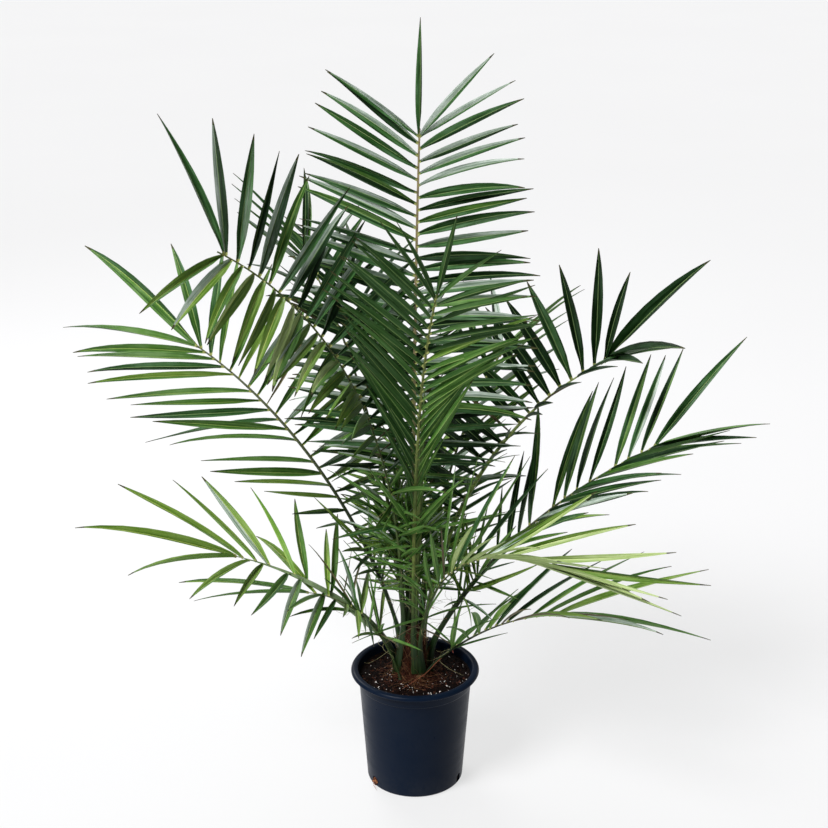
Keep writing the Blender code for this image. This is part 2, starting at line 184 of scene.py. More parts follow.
def uv_pairs(across: Array, along: Array | float) -> Array:
    """UV places from values across and along."""
    return np.stack(np.broadcast_arrays(across, along), 1)


def closed_grid(grids: Array, u: Array | None = None, v: Array | None = None) -> Surface:
    """Closes stacks of rings into tubes.

    Quads join the rings, and a fan of triangles joins each end ring to its middle. Rings run
    anticlockwise about the way the rows go, so that the faces point outwards. UV runs round the
    ring and along the rows.

    Args:
        grids: ring points, shape (tubes, rows, columns, 3).
        u: a value for each column and one more for the seam, or None for an even count.
        v: a value for each row, or None for an even count.

    Returns:
        All the tubes as one surface, tube by tube, with finish 0.
    """
    count, rows, columns, _ = grids.shape
    u = np.linspace(0, 1, columns + 1) if u is None else u
    v = np.linspace(0, 1, rows) if v is None else v
    row, column = (part.ravel() for part in np.mgrid[0:rows - 1, 0:columns])
    after = (column + 1) % columns
    sides = np.stack([row * columns + column, row * columns + after,
                      (row + 1) * columns + after, (row + 1) * columns + column], axis=1)
    side_uv = np.stack([uv_pairs(u[column], v[row]), uv_pairs(u[column + 1], v[row]),
                        uv_pairs(u[column + 1], v[row + 1]), uv_pairs(u[column], v[row + 1])], axis=1)
    k = np.arange(columns)
    k_after = (k + 1) % columns
    none = np.full(columns, -1)
    foot, top = rows * columns, rows * columns + 1
    last = (rows - 1) * columns
    low = np.stack([np.full(columns, foot), k_after, k, none], axis=1)
    high = np.stack([np.full(columns, top), last + k, last + k_after, none], axis=1)
    middle_u, no_uv = (u[:-1] + u[1:]) / 2, np.zeros((columns, 2))
    low_uv = [uv_pairs(middle_u, v[0]), uv_pairs(u[1:], v[0]), uv_pairs(u[:-1], v[0]), no_uv]
    high_uv = [uv_pairs(middle_u, v[-1]), uv_pairs(u[:-1], v[-1]), uv_pairs(u[1:], v[-1]), no_uv]
    faces = np.concatenate([sides, low, high])
    uv = np.concatenate([side_uv, np.stack(low_uv, axis=1), np.stack(high_uv, axis=1)])
    ends = np.stack([grids[:, 0].mean(axis=1), grids[:, -1].mean(axis=1)], axis=1)
    points = np.concatenate([grids.reshape(count, -1, 3), ends], axis=1)
    offsets = np.arange(count)[:, None, None] * points.shape[1]
    tiled = np.where(faces[None] < 0, -1, faces[None] + offsets).reshape(-1, 4)
    return Surface(points.reshape(-1, 3), tiled, np.tile(uv, (count, 1, 1)), np.zeros(len(tiled), dtype=int))


def turned(profile: Array, sides: int) -> Surface:
    """A solid turned about +Z: each profile point (radius, height) is carried round a circle."""
    turns = np.arange(sides) * 2 * np.pi / sides
    ring = np.stack([np.cos(turns), np.sin(turns)], axis=1)
    inner = np.maximum(profile[:, 0], LEAST_RADIUS)
    grid = np.empty((len(profile), sides, 3))
    grid[..., :2] = inner[:, None, None] * ring[None]
    grid[..., 2] = profile[:, 1][:, None]
    run = np.concatenate([[0.0], np.cumsum(np.linalg.norm(np.diff(profile, axis=0), axis=1))])
    return closed_grid(grid[None], v=run / run[-1])


def rounded(profile: Array, radius: float, steps: int) -> Array:
    """Eases each inner corner of a profile by a quadratic curve between points a radius away from it.

    Args:
        profile: points (radius, height) of a line.
        radius: how far from the corner the curve starts, at most 0.45 of the shorter side.
        steps: points on each curve.

    Returns:
        The eased line.
    """
    before, corner, after = profile[:-2], profile[1:-1], profile[2:]
    back, ahead = before - corner, after - corner
    back_length = np.linalg.norm(back, axis=1, keepdims=True)
    ahead_length = np.linalg.norm(ahead, axis=1, keepdims=True)
    reach = np.minimum(radius, 0.45 * np.minimum(back_length, ahead_length))
    start, end = corner + back / back_length * reach, corner + ahead / ahead_length * reach
    t = np.linspace(0, 1, steps)[None, :, None]
    curves = bend(start[:, None], corner[:, None], end[:, None], t)
    return np.concatenate([profile[:1], curves.reshape(-1, 2), profile[-1:]])


def tubes(paths: Array, radii: Array, sides: int) -> Surface:
    """Thin round tubes along many paths at once.

    At each path point the ring is the circle radius (cos a, sin a) in the plane across the path.

    Args:
        paths: path points, shape (tubes, rows, 3).
        radii: tube radius at each path point, shape (tubes, rows).
        sides: corners of each ring.

    Returns:
        The tubes as one surface.
    """
    along = unit(np.gradient(paths, axis=1))
    helper = np.where(np.abs(along[..., 2:3]) > 0.9, np.array([1.0, 0.0, 0.0]), UP)
    first = unit(np.cross(helper, along))
    second = np.cross(along, first)
    turns = np.arange(sides) * 2 * np.pi / sides
    rings = first[:, :, None] * np.cos(turns)[:, None] + second[:, :, None] * np.sin(turns)[:, None]
    return closed_grid(paths[:, :, None] + rings * radii[:, :, None, None])


def lumps(places: Array, sizes: Array, seed: int) -> Surface:
    """Small six-sided blocks, each stretched, knocked out of square and turned at random.

    Args:
        places: middles, shape (n, 3).
        sizes: half lengths along the block's own three directions, shape (n, 3).
        seed: start of the random numbers.

    Returns:
        The blocks as one surface, six faces each.
    """
    chance = np.random.default_rng(seed)
    count = len(places)
    corners = np.array([[x, y, z] for z in (-1, 1) for y in (-1, 1) for x in (-1, 1)], dtype=float)
    shaped = corners[None] * sizes[:, None] * chance.uniform(0.55, 1.1, (count, 8, 3))
    turn = np.linalg.qr(chance.normal(size=(count, 3, 3)))[0]
    turn *= np.sign(np.linalg.det(turn))[:, None, None]
    points = np.einsum("nij,nkj->nki", turn, shaped) + places[:, None]
    faces = np.array([[0, 2, 3, 1], [4, 5, 7, 6], [0, 1, 5, 4], [2, 6, 7, 3], [0, 4, 6, 2], [1, 3, 7, 5]])
    tiled = (faces[None] + np.arange(count)[:, None, None] * 8).reshape(-1, 4)
    uv = np.tile(np.array([[0, 0], [1, 0], [1, 1], [0, 1]], dtype=float), (len(tiled), 1, 1))
    return Surface(points.reshape(-1, 3), tiled, uv, np.zeros(len(tiled), dtype=int))


# ---- node groups and materials

class Tree:
    """A short way to add and join nodes of one node tree."""

    def __init__(self, tree: Group) -> None:
        """Takes the tree that the nodes go into."""
        self.tree = tree

    def node(self, kind: str, settings: dict | None = None, **inputs: object) -> Node:
        """Adds a node, sets its properties and joins or sets its inputs.

        Args:
            kind: Blender's type of shader node, such as Math.
            settings: properties of the node.
            inputs: input name (spaces written as _) or in_ and a number, with a socket or a value.

        Returns:
            The node.
        """
        node = self.tree.nodes.new(f"ShaderNode{kind}")
        for key, value in (settings or {}).items():
            setattr(node, key, value)
        self.feed(node, **inputs)
        return node

    def feed(self, node: Node, **inputs: object) -> None:
        """Joins or sets inputs of a node, which are named as for a new node."""
        for key, value in inputs.items():
            name = int(key[3:]) if key.startswith("in_") else key.replace("_", " ")
            if isinstance(value, Socket):
                self.tree.links.new(value, node.inputs[name])
            else:
                node.inputs[name].default_value = value

    def group(self, group: Group, **inputs: object) -> bpy.types.NodeOutputs:
        """Places a node group with its own values, and gives its outputs."""
        return self.node("Group", {"node_tree": group}, **inputs).outputs

    def parts(self, coordinate: str) -> bpy.types.NodeOutputs:
        """The three parts of a texture coordinate, such as UV or Object."""
        place = self.node("TexCoord").outputs[coordinate]
        return self.node("SeparateXYZ", Vector=place).outputs

    def math(self, operation: str, *values: object, clamp: bool = False) -> Socket:
        """The result of a Math node."""
        inputs = {f"in_{k}": value for k, value in enumerate(values)}
        return self.node("Math", {"operation": operation, "use_clamp": clamp}, **inputs).outputs[0]

    def times(self, first: object, second: object) -> Socket:
        """The product of two values."""
        return self.math("MULTIPLY", first, second)

    def ramp(self, value: object, low: float, high: float) -> Socket:
        """0 below low, 1 above high and smooth between."""
        settings = {"interpolation_type": "SMOOTHSTEP"}
        return self.node("MapRange", settings, Value=value, From_Min=low, From_Max=high).outputs[0]

    def mix(self, share: Socket, first: object, second: object) -> Socket:
        """A colour between two colours, by a share. The Mix node's colour sockets are 6 and 7."""
        ends = ((*end, 1.0) if isinstance(end, tuple) else end for end in (first, second))
        inputs = dict(zip(("in_0", "in_6", "in_7"), (share, *ends)))
        return self.node("Mix", {"data_type": "RGBA"}, **inputs).outputs[2]

    def noise(
        self, vector: Socket, scale: object, detail: float, rough: float = 0.55,
    ) -> Socket:
        """The value of a Noise texture."""
        inputs = {"Vector": vector, "Scale": scale, "Detail": detail, "Roughness": rough}
        return self.node("TexNoise", **inputs).outputs[0]


def new_group(name: str, inputs: dict[str, float], outputs: tuple) -> tuple[Tree, dict, Node]:
    """Starts a shader node group.

    Args:
        name: the group's name.
        inputs: names of the inputs, which are numbers, with their default values.
        outputs: names of the outputs: Mask is a number and Normal a vector.

    Returns:
        The group's tree, its input sockets by name and its output node.
    """
    tree = bpy.data.node_groups.new(name, "ShaderNodeTree")
    for key, value in inputs.items():
        socket = tree.interface.new_socket(key, in_out="INPUT", socket_type="NodeSocketFloat")
        socket.default_value = value
    for key in outputs:
        kind = "NodeSocketVector" if key == "Normal" else "NodeSocketFloat"
        tree.interface.new_socket(key, in_out="OUTPUT", socket_type=kind)
    entry = tree.nodes.new("NodeGroupInput")
    return Tree(tree), {key: entry.outputs[key] for key in inputs}, tree.nodes.new("NodeGroupOutput")


class Effects:
    """The node groups that several materials share."""

    def __init__(self) -> None:
        """Builds each group once."""
        self.mottle = self.make_mottle()
        self.streaks = self.make_streaks()
        self.grit = self.make_grit()

    @staticmethod
    def closed(tree: Tree, given: dict, out: Node, mask: Socket) -> Group:
        """Ends a group that puts out a mask and the relief that the mask makes."""
        bump = tree.node("Bump", Strength=given["Relief"], Distance=given["Depth"], Height=mask)
        tree.feed(out, Mask=mask, Normal=bump.outputs[0])
        return tree.tree

    @staticmethod
    def make_mottle() -> Group:
        """Soft uneven patches over a surface: two noises added by weight, eased to a mask."""
        tree, given, out = new_group("soft mottle", {"Scale": 30.0, "Spread": 0.2}, ("Mask",))
        place = tree.node("TexCoord").outputs["Object"]
        broad = tree.noise(place, given["Scale"], 2.0)
        fine = tree.noise(place, tree.times(given["Scale"], 4.3), 4.0)
        both = tree.math("ADD", tree.times(broad, 0.65), tree.times(fine, 0.35))
        low = tree.math("SUBTRACT", 0.5, given["Spread"])
        high = tree.math("ADD", 0.5, given["Spread"])
        tree.feed(out, Mask=tree.ramp(both, low, high))
        return tree.tree

    @staticmethod
    def make_streaks() -> Group:
        """Fine lines that run lengthwise: a noise on the UV map, squeezed across and stretched along.

        The noise's third coordinate follows the place on the object, so that no two leaflets match.
        """
        given = {"Across": 60.0, "Along": 2.0, "Relief": 0.2, "Depth": 0.0004}
        tree, given, out = new_group("lengthwise streaks", given, ("Mask", "Normal"))
        coordinates = tree.node("TexCoord").outputs
        parts = tree.node("SeparateXYZ", Vector=coordinates["UV"]).outputs
        spot = tree.node("SeparateXYZ", Vector=coordinates["Object"]).outputs
        level = tree.math("MULTIPLY_ADD", spot[0], 7.0, spot[1])
        drift = tree.math("ADD", level, tree.times(spot[2], 9.0))
        across = tree.times(parts[0], given["Across"])
        along = tree.times(parts[1], given["Along"])
        place = tree.node("CombineXYZ", X=across, Y=along, Z=drift).outputs[0]
        mask = tree.ramp(tree.noise(place, 1.0, 2.0, 0.6), 0.38, 0.62)
        return Effects.closed(tree, given, out, mask)

    @staticmethod
    def make_grit() -> Group:
        """Small grains and pores: noise and cell distance give the mask and the relief."""
        given = {"Scale": 400.0, "Relief": 0.5, "Depth": 0.001}
        tree, given, out = new_group("grit", given, ("Mask", "Normal"))
        place = tree.node("TexCoord").outputs["Object"]
        cells = tree.node("TexVoronoi", Vector=place, Scale=given["Scale"]).outputs["Distance"]
        grain = tree.noise(place, tree.times(given["Scale"], 0.6), 5.0)
        mask = tree.times(tree.ramp(cells, 0.05, 0.75), grain)
        return Effects.closed(tree, given, out, mask)


def started(name: str) -> tuple[Material, Tree, Node]:
    """A new material with its tree and its Principled shader."""
    material = bpy.data.materials.new(name)
    material.use_nodes = True
    return material, Tree(material.node_tree), material.node_tree.nodes["Principled BSDF"]


def dressed(finishes: tuple, effects: Effects) -> list[Material]:
    """The materials of several finishes, in order."""
    return [finish.material(effects) for finish in finishes]


@dataclass(frozen=True)
class LeafFinish:
    """Leaf tissue with fine veins, a pale fold line and long streaks of waxy bloom with painted sheen."""

    name: str
    body: Colour
    vein: Colour
    fold: Colour
    bloom_and_sheen: Colour
    bloom_and_sheen_share: float = 0.35
    roughness: float = 0.38
    gloss: float = 0.17

    def material(self, effects: Effects) -> Material:
        """Veins, and the bloom with its painted sheen, colour the body; the fold's line follows the middle of
        the UV map.
        """
        material, tree, shader = started(self.name)
        veins = tree.group(effects.streaks, Across=24.0, Along=1.5, Relief=0.35, Depth=0.0005)
        broad = tree.group(effects.streaks, Across=5.0, Along=1.6, Relief=0.0, Depth=0.0)["Mask"]
        patches = tree.group(effects.mottle, Scale=16.0, Spread=0.16)["Mask"]
        off_fold = tree.math("ABSOLUTE", tree.math("SUBTRACT", tree.parts("UV")[0], 0.5))
        line = tree.math("SUBTRACT", 1.0, tree.ramp(off_fold, 0.020, 0.055))
        streaked = tree.math("MULTIPLY_ADD", broad, 0.55, tree.times(veins["Mask"], 0.40))
        veined = tree.mix(streaked, self.body, self.vein)
        # Painted sheen: pale streaks that stand in for reflections, mixed with a real waxy bloom.
        waxy_and_sheen = tree.times(tree.times(broad, patches), self.bloom_and_sheen_share)
        with_bloom_and_sheen = tree.mix(waxy_and_sheen, veined, self.bloom_and_sheen)
        colour = tree.mix(tree.times(line, 0.8), with_bloom_and_sheen, self.fold)
        rough = tree.math("MULTIPLY_ADD", broad, 0.16, self.roughness - 0.08)
        tree.feed(shader, Base_Color=colour, Roughness=rough, Normal=veins["Normal"],
                  Specular_IOR_Level=self.gloss)
        return material


@dataclass(frozen=True)
class StalkFinish:
    """Smooth stalk skin with lengthwise streaks, shifting from the foot's colour to the blade's."""

    name: str
    foot: Colour
    middle: Colour
    tip: Colour
    streak: Colour
    roughness: float = 0.42
    gloss: float = 0.25

    def material(self, effects: Effects) -> Material:
        """Colour changes along the UV map, with streaks and mottle over it."""
        material, tree, shader = started(self.name)
        along = tree.parts("UV")[1]
        lines = tree.group(effects.streaks, Across=22.0, Along=9.0, Relief=0.45, Depth=0.0006)
        patches = tree.group(effects.mottle, Scale=55.0, Spread=0.16)["Mask"]
        lower = tree.mix(tree.ramp(along, 0.05, 0.22), self.foot, self.middle)
        whole = tree.mix(tree.ramp(along, 0.34, 0.72), lower, self.tip)
        strength = tree.math("MULTIPLY_ADD", tree.ramp(along, 0.03, 0.30), 0.38, 0.05)
        lined = tree.mix(tree.times(lines["Mask"], strength), whole, self.streak)
        dark = tree.mix(tree.times(patches, 0.4), lined, tuple(0.45 * part for part in self.foot))
        tree.feed(shader, Base_Color=dark, Roughness=self.roughness, Normal=lines["Normal"],
                  Specular_IOR_Level=self.gloss)
        return material


@dataclass(frozen=True)
class FibreFinish:
    """Dry strands, roots and husk: streaked and matt."""

    name: str
    body: Colour
    dark: Colour
    roughness: float = 0.8
    across: float = 8.0
    along: float = 14.0
    gloss: float = 0.1

    def material(self, effects: Effects) -> Material:
        """Streaks and mottle between two colours."""
        material, tree, shader = started(self.name)
        lines = tree.group(effects.streaks, Across=self.across, Along=self.along, Relief=0.6, Depth=0.0006)
        patches = tree.group(effects.mottle, Scale=120.0, Spread=0.15)["Mask"]
        share = tree.math("MULTIPLY_ADD", lines["Mask"], 0.5, tree.times(patches, 0.4))
        tree.feed(shader, Base_Color=tree.mix(share, self.body, self.dark), Roughness=self.roughness,
                  Normal=lines["Normal"], Specular_IOR_Level=self.gloss)
        return material


@dataclass(frozen=True)
class GrainFinish:
    """Damp mix, bark chips or perlite: grains and pores in two colours."""

    name: str
    body: Colour
    second: Colour
    scale: float
    roughness: float
    relief: float = 0.7
    depth: float = 0.0012
    gloss: float = 0.08

    def material(self, effects: Effects) -> Material:
        """Grit picks between the colours and roughens the surface."""
        material, tree, shader = started(self.name)
        grit = tree.group(effects.grit, Scale=self.scale, Relief=self.relief, Depth=self.depth)
        patches = tree.group(effects.mottle, Scale=self.scale * 0.25, Spread=0.12)["Mask"]
        share = tree.math("ADD", tree.times(grit["Mask"], 0.7),
                          tree.times(patches, 0.4), clamp=True)
        tree.feed(shader, Base_Color=tree.mix(share, self.body, self.second), Roughness=self.roughness,
                  Normal=grit["Normal"], Specular_IOR_Level=self.gloss)
        return material


@dataclass(frozen=True)
class PlasticFinish:
    """Satin moulded plastic with a fine skin, faint rub marks and potting dust near its foot."""

    name: str
    body: Colour
    dust: Colour
    roughness: float
    height: float
    dusty_share: float = 0.22
    gloss: float = 0.07

    def material(self, effects: Effects) -> Material:
        """Dust gathers low on the wall and rubs vary the gloss."""
        material, tree, shader = started(self.name)
        level = tree.parts("Object")[2]
        patches = tree.group(effects.mottle, Scale=26.0, Spread=0.18)["Mask"]
        skin = tree.group(effects.grit, Scale=900.0, Relief=0.10, Depth=0.0002)
        low = tree.math("SUBTRACT", 1.0, tree.ramp(level, 0.0, self.height * self.dusty_share))
        dust = tree.times(tree.math("MULTIPLY_ADD", low, 0.22, 0.05), patches)
        streaks = tree.group(effects.streaks, Across=7.0, Along=60.0, Relief=0.05, Depth=0.0002)
        rubs = streaks["Mask"]
        uneven = tree.math("MULTIPLY_ADD", patches, 0.10, tree.times(rubs, 0.06))
        tree.feed(shader, Base_Color=tree.mix(dust, self.body, self.dust),
                  Roughness=tree.math("ADD", uneven, self.roughness), Normal=skin["Normal"],
                  Specular_IOR_Level=self.gloss)
        return material


# ---- pot and potting mix

@dataclass
class NurseryPot:
    """A tapered round pot with a raised band under its rolled lip and slots at its foot."""

    height: float = 0.224
    foot_radius: float = 0.0885
    shoulder_radius: float = 0.1025
    shoulder_height: float = 0.195
    band_step: float = 0.0022
    band_top_radius: float = 0.107
    lip_radius: float = 0.1175
    lip_depth: float = 0.0085
    lip_turn: float = 0.0022
    wall: float = 0.0026
    floor: float = 0.004
    sides: int = 144
    slot_count: int = 3
    slot_first: float = 94.0
    slot_width: float = 0.013
    slot_height: float = 0.017
    slot_sill: float = 0.003
    ease: float = 0.0016
    ring_heights: tuple = (0.002, 0.022, 0.026, 0.034, 0.060, 0.100, 0.150)
    finish: PlasticFinish = PlasticFinish(
        "pot plastic", (0.0019, 0.0068, 0.0187), (0.036, 0.038, 0.042), 0.27, 0.224)

    def outer_radius(self, height: float) -> float:
        """Outside radius of the plain wall, in an even taper from the foot to the shoulder."""
        return self.foot_radius + (self.shoulder_radius - self.foot_radius) * height / self.shoulder_height

    def profile(self) -> Array:
        """Half section: foot, wall, raised band, rolled lip, inside wall and floor."""
        lip, turn, lip_low = self.lip_radius, self.lip_turn, self.height - self.lip_depth
        inside = self.band_top_radius - self.wall
        wall = [(self.outer_radius(height), height) for height in self.ring_heights]
        return np.array([
            (0.0, 0.0),
            (self.foot_radius - 0.002, 0.0),
            *wall,
            (self.shoulder_radius, self.shoulder_height),
            (self.shoulder_radius + self.band_step, self.shoulder_height + 0.0015),
            (self.band_top_radius, lip_low + 0.001),
            (lip - turn, lip_low),
            (lip, lip_low + turn),
            (lip, self.height - 2 * turn),
            (lip - turn, self.height - 0.0006),
            (lip - 2.2 * turn, self.height),
            (inside + turn, self.height),
            (inside, self.height - turn),
            (self.outer_radius(self.shoulder_height) - self.wall, self.shoulder_height),
            (self.outer_radius(self.floor) - self.wall, self.floor),
            (0.0, self.floor),
        ])

    @staticmethod
    def ways(angle: float) -> tuple[Array, Array]:
        """The directions outwards and sideways at an angle round the pot, in degrees."""
        turn = math.radians(angle)
        across, ahead = math.sin(turn), math.cos(turn)
        return np.array([ahead, across, 0.0]), np.array([-across, ahead, 0.0])

    def slot_cutter(self, angle: float) -> Piece:
        """A block with a round top that opens one slot through the wall.

        The outline is two straight sides and a half circle, carried outwards along the radius.
        """
        turns = np.linspace(0, np.pi, 13)
        half = self.slot_width / 2
        spring = self.slot_sill + self.slot_height - half
        arch = np.stack([half * np.cos(turns), spring + half * np.sin(turns)], 1)
        outline = np.concatenate([[(-half, self.slot_sill), (half, self.slot_sill)], arch])
        middle = self.outer_radius(self.slot_sill) - self.wall / 2
        out, aside = self.ways(angle)
        flat = outline[:, :1] * aside + outline[:, 1:] * UP
        grid = np.stack([flat + out * (middle - 2 * self.wall), flat + out * (middle + 2 * self.wall)])
        cutter = [bpy.data.materials.new("cutter")]
        return closed_grid(grid[None]).to_object(f"slot_cutter_{angle:.0f}", cutter)

    def build(self, effects: Effects) -> Piece:
        """Turns the eased profile, cuts the slots and dresses the pot."""
        body = turned(rounded(self.profile(), self.ease, 4), self.sides)
        pot = body.to_object("nursery_pot", [self.finish.material(effects)], 50)
        angles = [self.slot_first + k * 360 / self.slot_count for k in range(self.slot_count)]
        cutters = [self.slot_cutter(angle) for angle in angles]
        for cutter in cutters:
            modifier = pot.modifiers.new("slot", "BOOLEAN")
            modifier.operation = "DIFFERENCE"
            modifier.solver = "EXACT"
            modifier.object = cutter
        mesh = bpy.data.meshes.new_from_object(pot.evaluated_get(bpy.context.evaluated_depsgraph_get()))
        pot.modifiers.clear()
        pot.data = mesh
        for cutter in cutters:
            bpy.data.objects.remove(cutter)
        while len(mesh.materials) > 1:
            mesh.materials.pop()
        mesh.polygons.foreach_set("material_index", np.zeros(len(mesh.polygons), dtype=np.int32))
        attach(pot, "root")
        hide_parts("pot")
        return pot


@dataclass
class PottingMix:
    """The plug of damp bark and peat, with chips, perlite and fine roots on top."""

    pot: NurseryPot
    level: float = 0.209
    lump: float = 0.0022
    level_radius: float = 0.039
    roughness: float = 0.0007
    heap: float = 0.0012
    heap_radius: float = 0.045
    gap: float = 0.0003
    edge: float = 0.003
    chip_count: int = 1500
    chip_size: tuple = (0.0034, 0.0020, 0.0010)
    chip_gains: tuple = (0.5, 0.75, 1.0, 1.35)
    chip_shares: tuple = (0.4, 0.3, 0.2, 0.1)
    perlite_count: int = 140
    perlite_size: tuple = (0.0019, 0.0016, 0.0013)
    perlite_scatter: float = 0.09
    root_count: int = 150
    root_lift: float = 0.015
    arch_line: tuple = ((-0.024, -0.062, 0.2105), (0.006, -0.052, 0.2260), (0.050, -0.020, 0.2500))
    arch_radii: tuple = (0.0003, 0.0006, 0.0008, 0.0004)
    arch_sway: float = 0.0019
    knot_count: int = 60
    knot_radius: float = 0.0082
    knot_thickness: float = 0.00042
    knot_height: float = 0.0076
    knot_flattened: float = 0.55
    wisps: tuple = ((1.0, 0.010), (0.7, 0.016))
    wisp_thickness: float = 0.0003
    plug: GrainFinish = GrainFinish(
        "potting mix", (0.0012, 0.0005, 0.0004), (0.0070, 0.0026, 0.0019), 260.0, 0.85)
    chip: GrainFinish = GrainFinish(
        "bark chip", (0.0105, 0.0034, 0.0024), (0.0026, 0.0012, 0.0010), 500.0, 0.7)
    chip_light: GrainFinish = GrainFinish(
        "pale chip", (0.085, 0.030, 0.017), (0.026, 0.009, 0.006), 500.0, 0.7)
    perlite: GrainFinish = GrainFinish(
        "perlite", (0.62, 0.58, 0.55), (0.80, 0.78, 0.76), 700.0, 0.8, 0.5, 0.0006)
    root: FibreFinish = FibreFinish("fine roots", (0.125, 0.040, 0.020), (0.040, 0.013, 0.008), 0.6)
    straw_root: FibreFinish = FibreFinish("straw roots", (0.34, 0.19, 0.09), (0.13, 0.06, 0.03), 0.6)
    arch_root: FibreFinish = FibreFinish("arched root", (0.34, 0.12, 0.060), (0.12, 0.036, 0.018), 0.5)
    copper_root: FibreFinish = FibreFinish("copper roots", (0.62, 0.27, 0.12), (0.25, 0.08, 0.03), 0.5)
    pale_root: FibreFinish = FibreFinish("aerial root", (0.46, 0.24, 0.19), (0.28, 0.11, 0.08), 0.45)

    def wall_radius(self) -> float:
        """Radius of the mix's edge at its top, where the pot's inside widens under the lip."""
        pot = self.pot
        share = (self.level - pot.shoulder_height) / (pot.height - pot.lip_turn - pot.shoulder_height)
        inside = pot.shoulder_radius - pot.wall - self.gap
        return inside + (pot.band_top_radius - pot.shoulder_radius) * share

    def surface_height(self, x: Array, y: Array) -> Array:
        """Height of the mix's top: rolling lumps away from the trunk, and a slight heap round it.

        The lumps are two waves that wind outwards, 3 and 7 to the round. They and the roughness
        fade towards the pot's wall, and the heap falls off as a bell curve.
        """
        radius, angle = np.hypot(x, y), np.arctan2(y, x)
        wall = self.wall_radius()
        share = np.clip((radius - self.level_radius) / (wall - self.level_radius), 0, 1)
        rolling = np.sin(3 * angle + 40 * radius) + 0.6 * np.sin(7 * angle - 90 * radius)
        rough = ripple(np.stack([x, y, 0 * x], -1), 0.011, 14, 5) * self.roughness
        heap = self.heap * np.exp(-(radius / self.heap_radius) ** 2)
        fading = smooth((wall - radius) / 0.01)
        return self.level + self.lump * rolling * share * (1.2 - share) + rough * fading + heap

    def build(self, effects: Effects) -> list[Piece]:
        """Builds the plug and what lies on it."""
        plug = self.build_plug(effects)
        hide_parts("potting_mix")
        pieces = [plug, self.build_chips(effects), self.build_perlite(effects),
                  self.build_roots(effects), self.build_drain_roots(effects)]
        for piece in pieces:
            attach(piece, "root")
        return pieces

    def build_plug(self, effects: Effects) -> Piece:
        """A turned plug that fills the pot, whose top follows the surface height."""
        pot, wall = self.pot, self.wall_radius()
        foot = pot.outer_radius(pot.floor) - pot.wall - self.gap
        shoulder = pot.shoulder_radius - pot.wall - self.gap
        side = [(0.0, pot.floor + self.gap), (foot, pot.floor + self.gap),
                (shoulder, pot.shoulder_height), (wall, self.level - 0.0006)]
        top = [(radius, self.level) for radius in np.linspace(wall - 0.0012, 0.0004, 62)]
        surface = turned(np.array(side + top), 150)
        on_top = surface.points[:, 2] > self.level - 1e-5
        x, y = surface.points[:, 0], surface.points[:, 1]
        surface.points[on_top, 2] = self.surface_height(x[on_top], y[on_top])
        return surface.to_object("mix_plug", [self.plug.material(effects)], 60)

    def scattered(self, count: int, chance: Chance, inner: float) -> tuple[Array, Array]:
        """Places spread evenly from an inner radius to near the wall.

        The radius is the root of an even spread of its square.
        """
        outer = self.wall_radius() - self.edge
        radius = np.sqrt(chance.uniform(inner ** 2, outer ** 2, count))
        angle = chance.uniform(0, 2 * np.pi, count)
        return radius * np.cos(angle), radius * np.sin(angle)

    def build_chips(self, effects: Effects) -> Piece:
        """Bark chips of many sizes, half sunk in the surface."""
        chance = np.random.default_rng(31)
        x, y = self.scattered(self.chip_count, chance, 0.015)
        size = chance.uniform(0.4, 1.0, (self.chip_count, 3)) * np.array(self.chip_size)
        size *= chance.choice(self.chip_gains, (self.chip_count, 1), p=self.chip_shares)
        places = np.stack([x, y, self.surface_height(x, y) + size[:, 2] * 0.2], axis=1)
        chips = lumps(places, size, 32).sharing(self.chip_count, [0, 1], [0.8, 0.2], chance)
        return chips.to_object("bark_chips", dressed((self.chip, self.chip_light), effects), 30)

    def build_perlite(self, effects: Effects) -> Piece:
        """White perlite specks, most of them towards the front."""
        chance = np.random.default_rng(41)
        x, y = self.scattered(self.perlite_count * 2, chance, 0.03)
        scatter = chance.uniform(-self.perlite_scatter, self.perlite_scatter, len(y))
        keep = np.argsort(y + scatter)[:self.perlite_count]
        x, y = x[keep], y[keep]
        size = chance.uniform(0.3, 1.0, (self.perlite_count, 3)) ** 1.9 * np.array(self.perlite_size)
        places = np.stack([x, y, self.surface_height(x, y) + 0.0004], axis=1)
        return lumps(places, size, 42).to_object("perlite_specks", [self.perlite.material(effects)], 60)

    def build_roots(self, effects: Effects) -> Piece:
        """Fine roots that spread over the mix from the trunk, and a thicker one that arches over them.

        A fine root runs outwards evenly while its angle swings and waves, and lifts off the
        surface as half a sine. Every second one starts towards the front.
        """
        chance = np.random.default_rng(51)
        n = self.root_count
        turn = chance.uniform(0, 2 * np.pi, n)
        turn[::2] = chance.normal(-1.35, 0.7, len(turn[::2]))
        turn = turn[:, None]
        reach = chance.uniform(0.012, 0.045, (n, 1))
        swing = chance.uniform(-0.8, 0.8, (n, 1))
        start_radius = chance.uniform(0.024, 0.034, (n, 1))
        t = np.linspace(0, 1, 9)[None]
        radius = start_radius + reach * t
        angle = turn + swing * t ** 1.5 + 0.12 * np.sin(9 * t + turn * 5)
        x, y = radius * np.cos(angle) - 0.006, radius * np.sin(angle)
        arched = np.sin(np.pi * np.clip(t * 0.9 + 0.25, 0, 1))
        lift = chance.uniform(0.0, self.root_lift, (n, 1)) * arched
        paths = np.stack([x, y, self.surface_height(x, y) + 0.0006 + lift], axis=-1)
        radii = chance.uniform(0.00025, 0.0006, (n, 1)) * (1 - 0.6 * t)
        fine = tubes(paths, radii, 5).sharing(n, [0, 2], [0.78, 0.22], chance)
        finishes = (self.root, self.arch_root, self.straw_root)
        whole = Surface.joined([fine, self.arched_root()])
        return whole.to_object("surface_roots", dressed(finishes, effects))

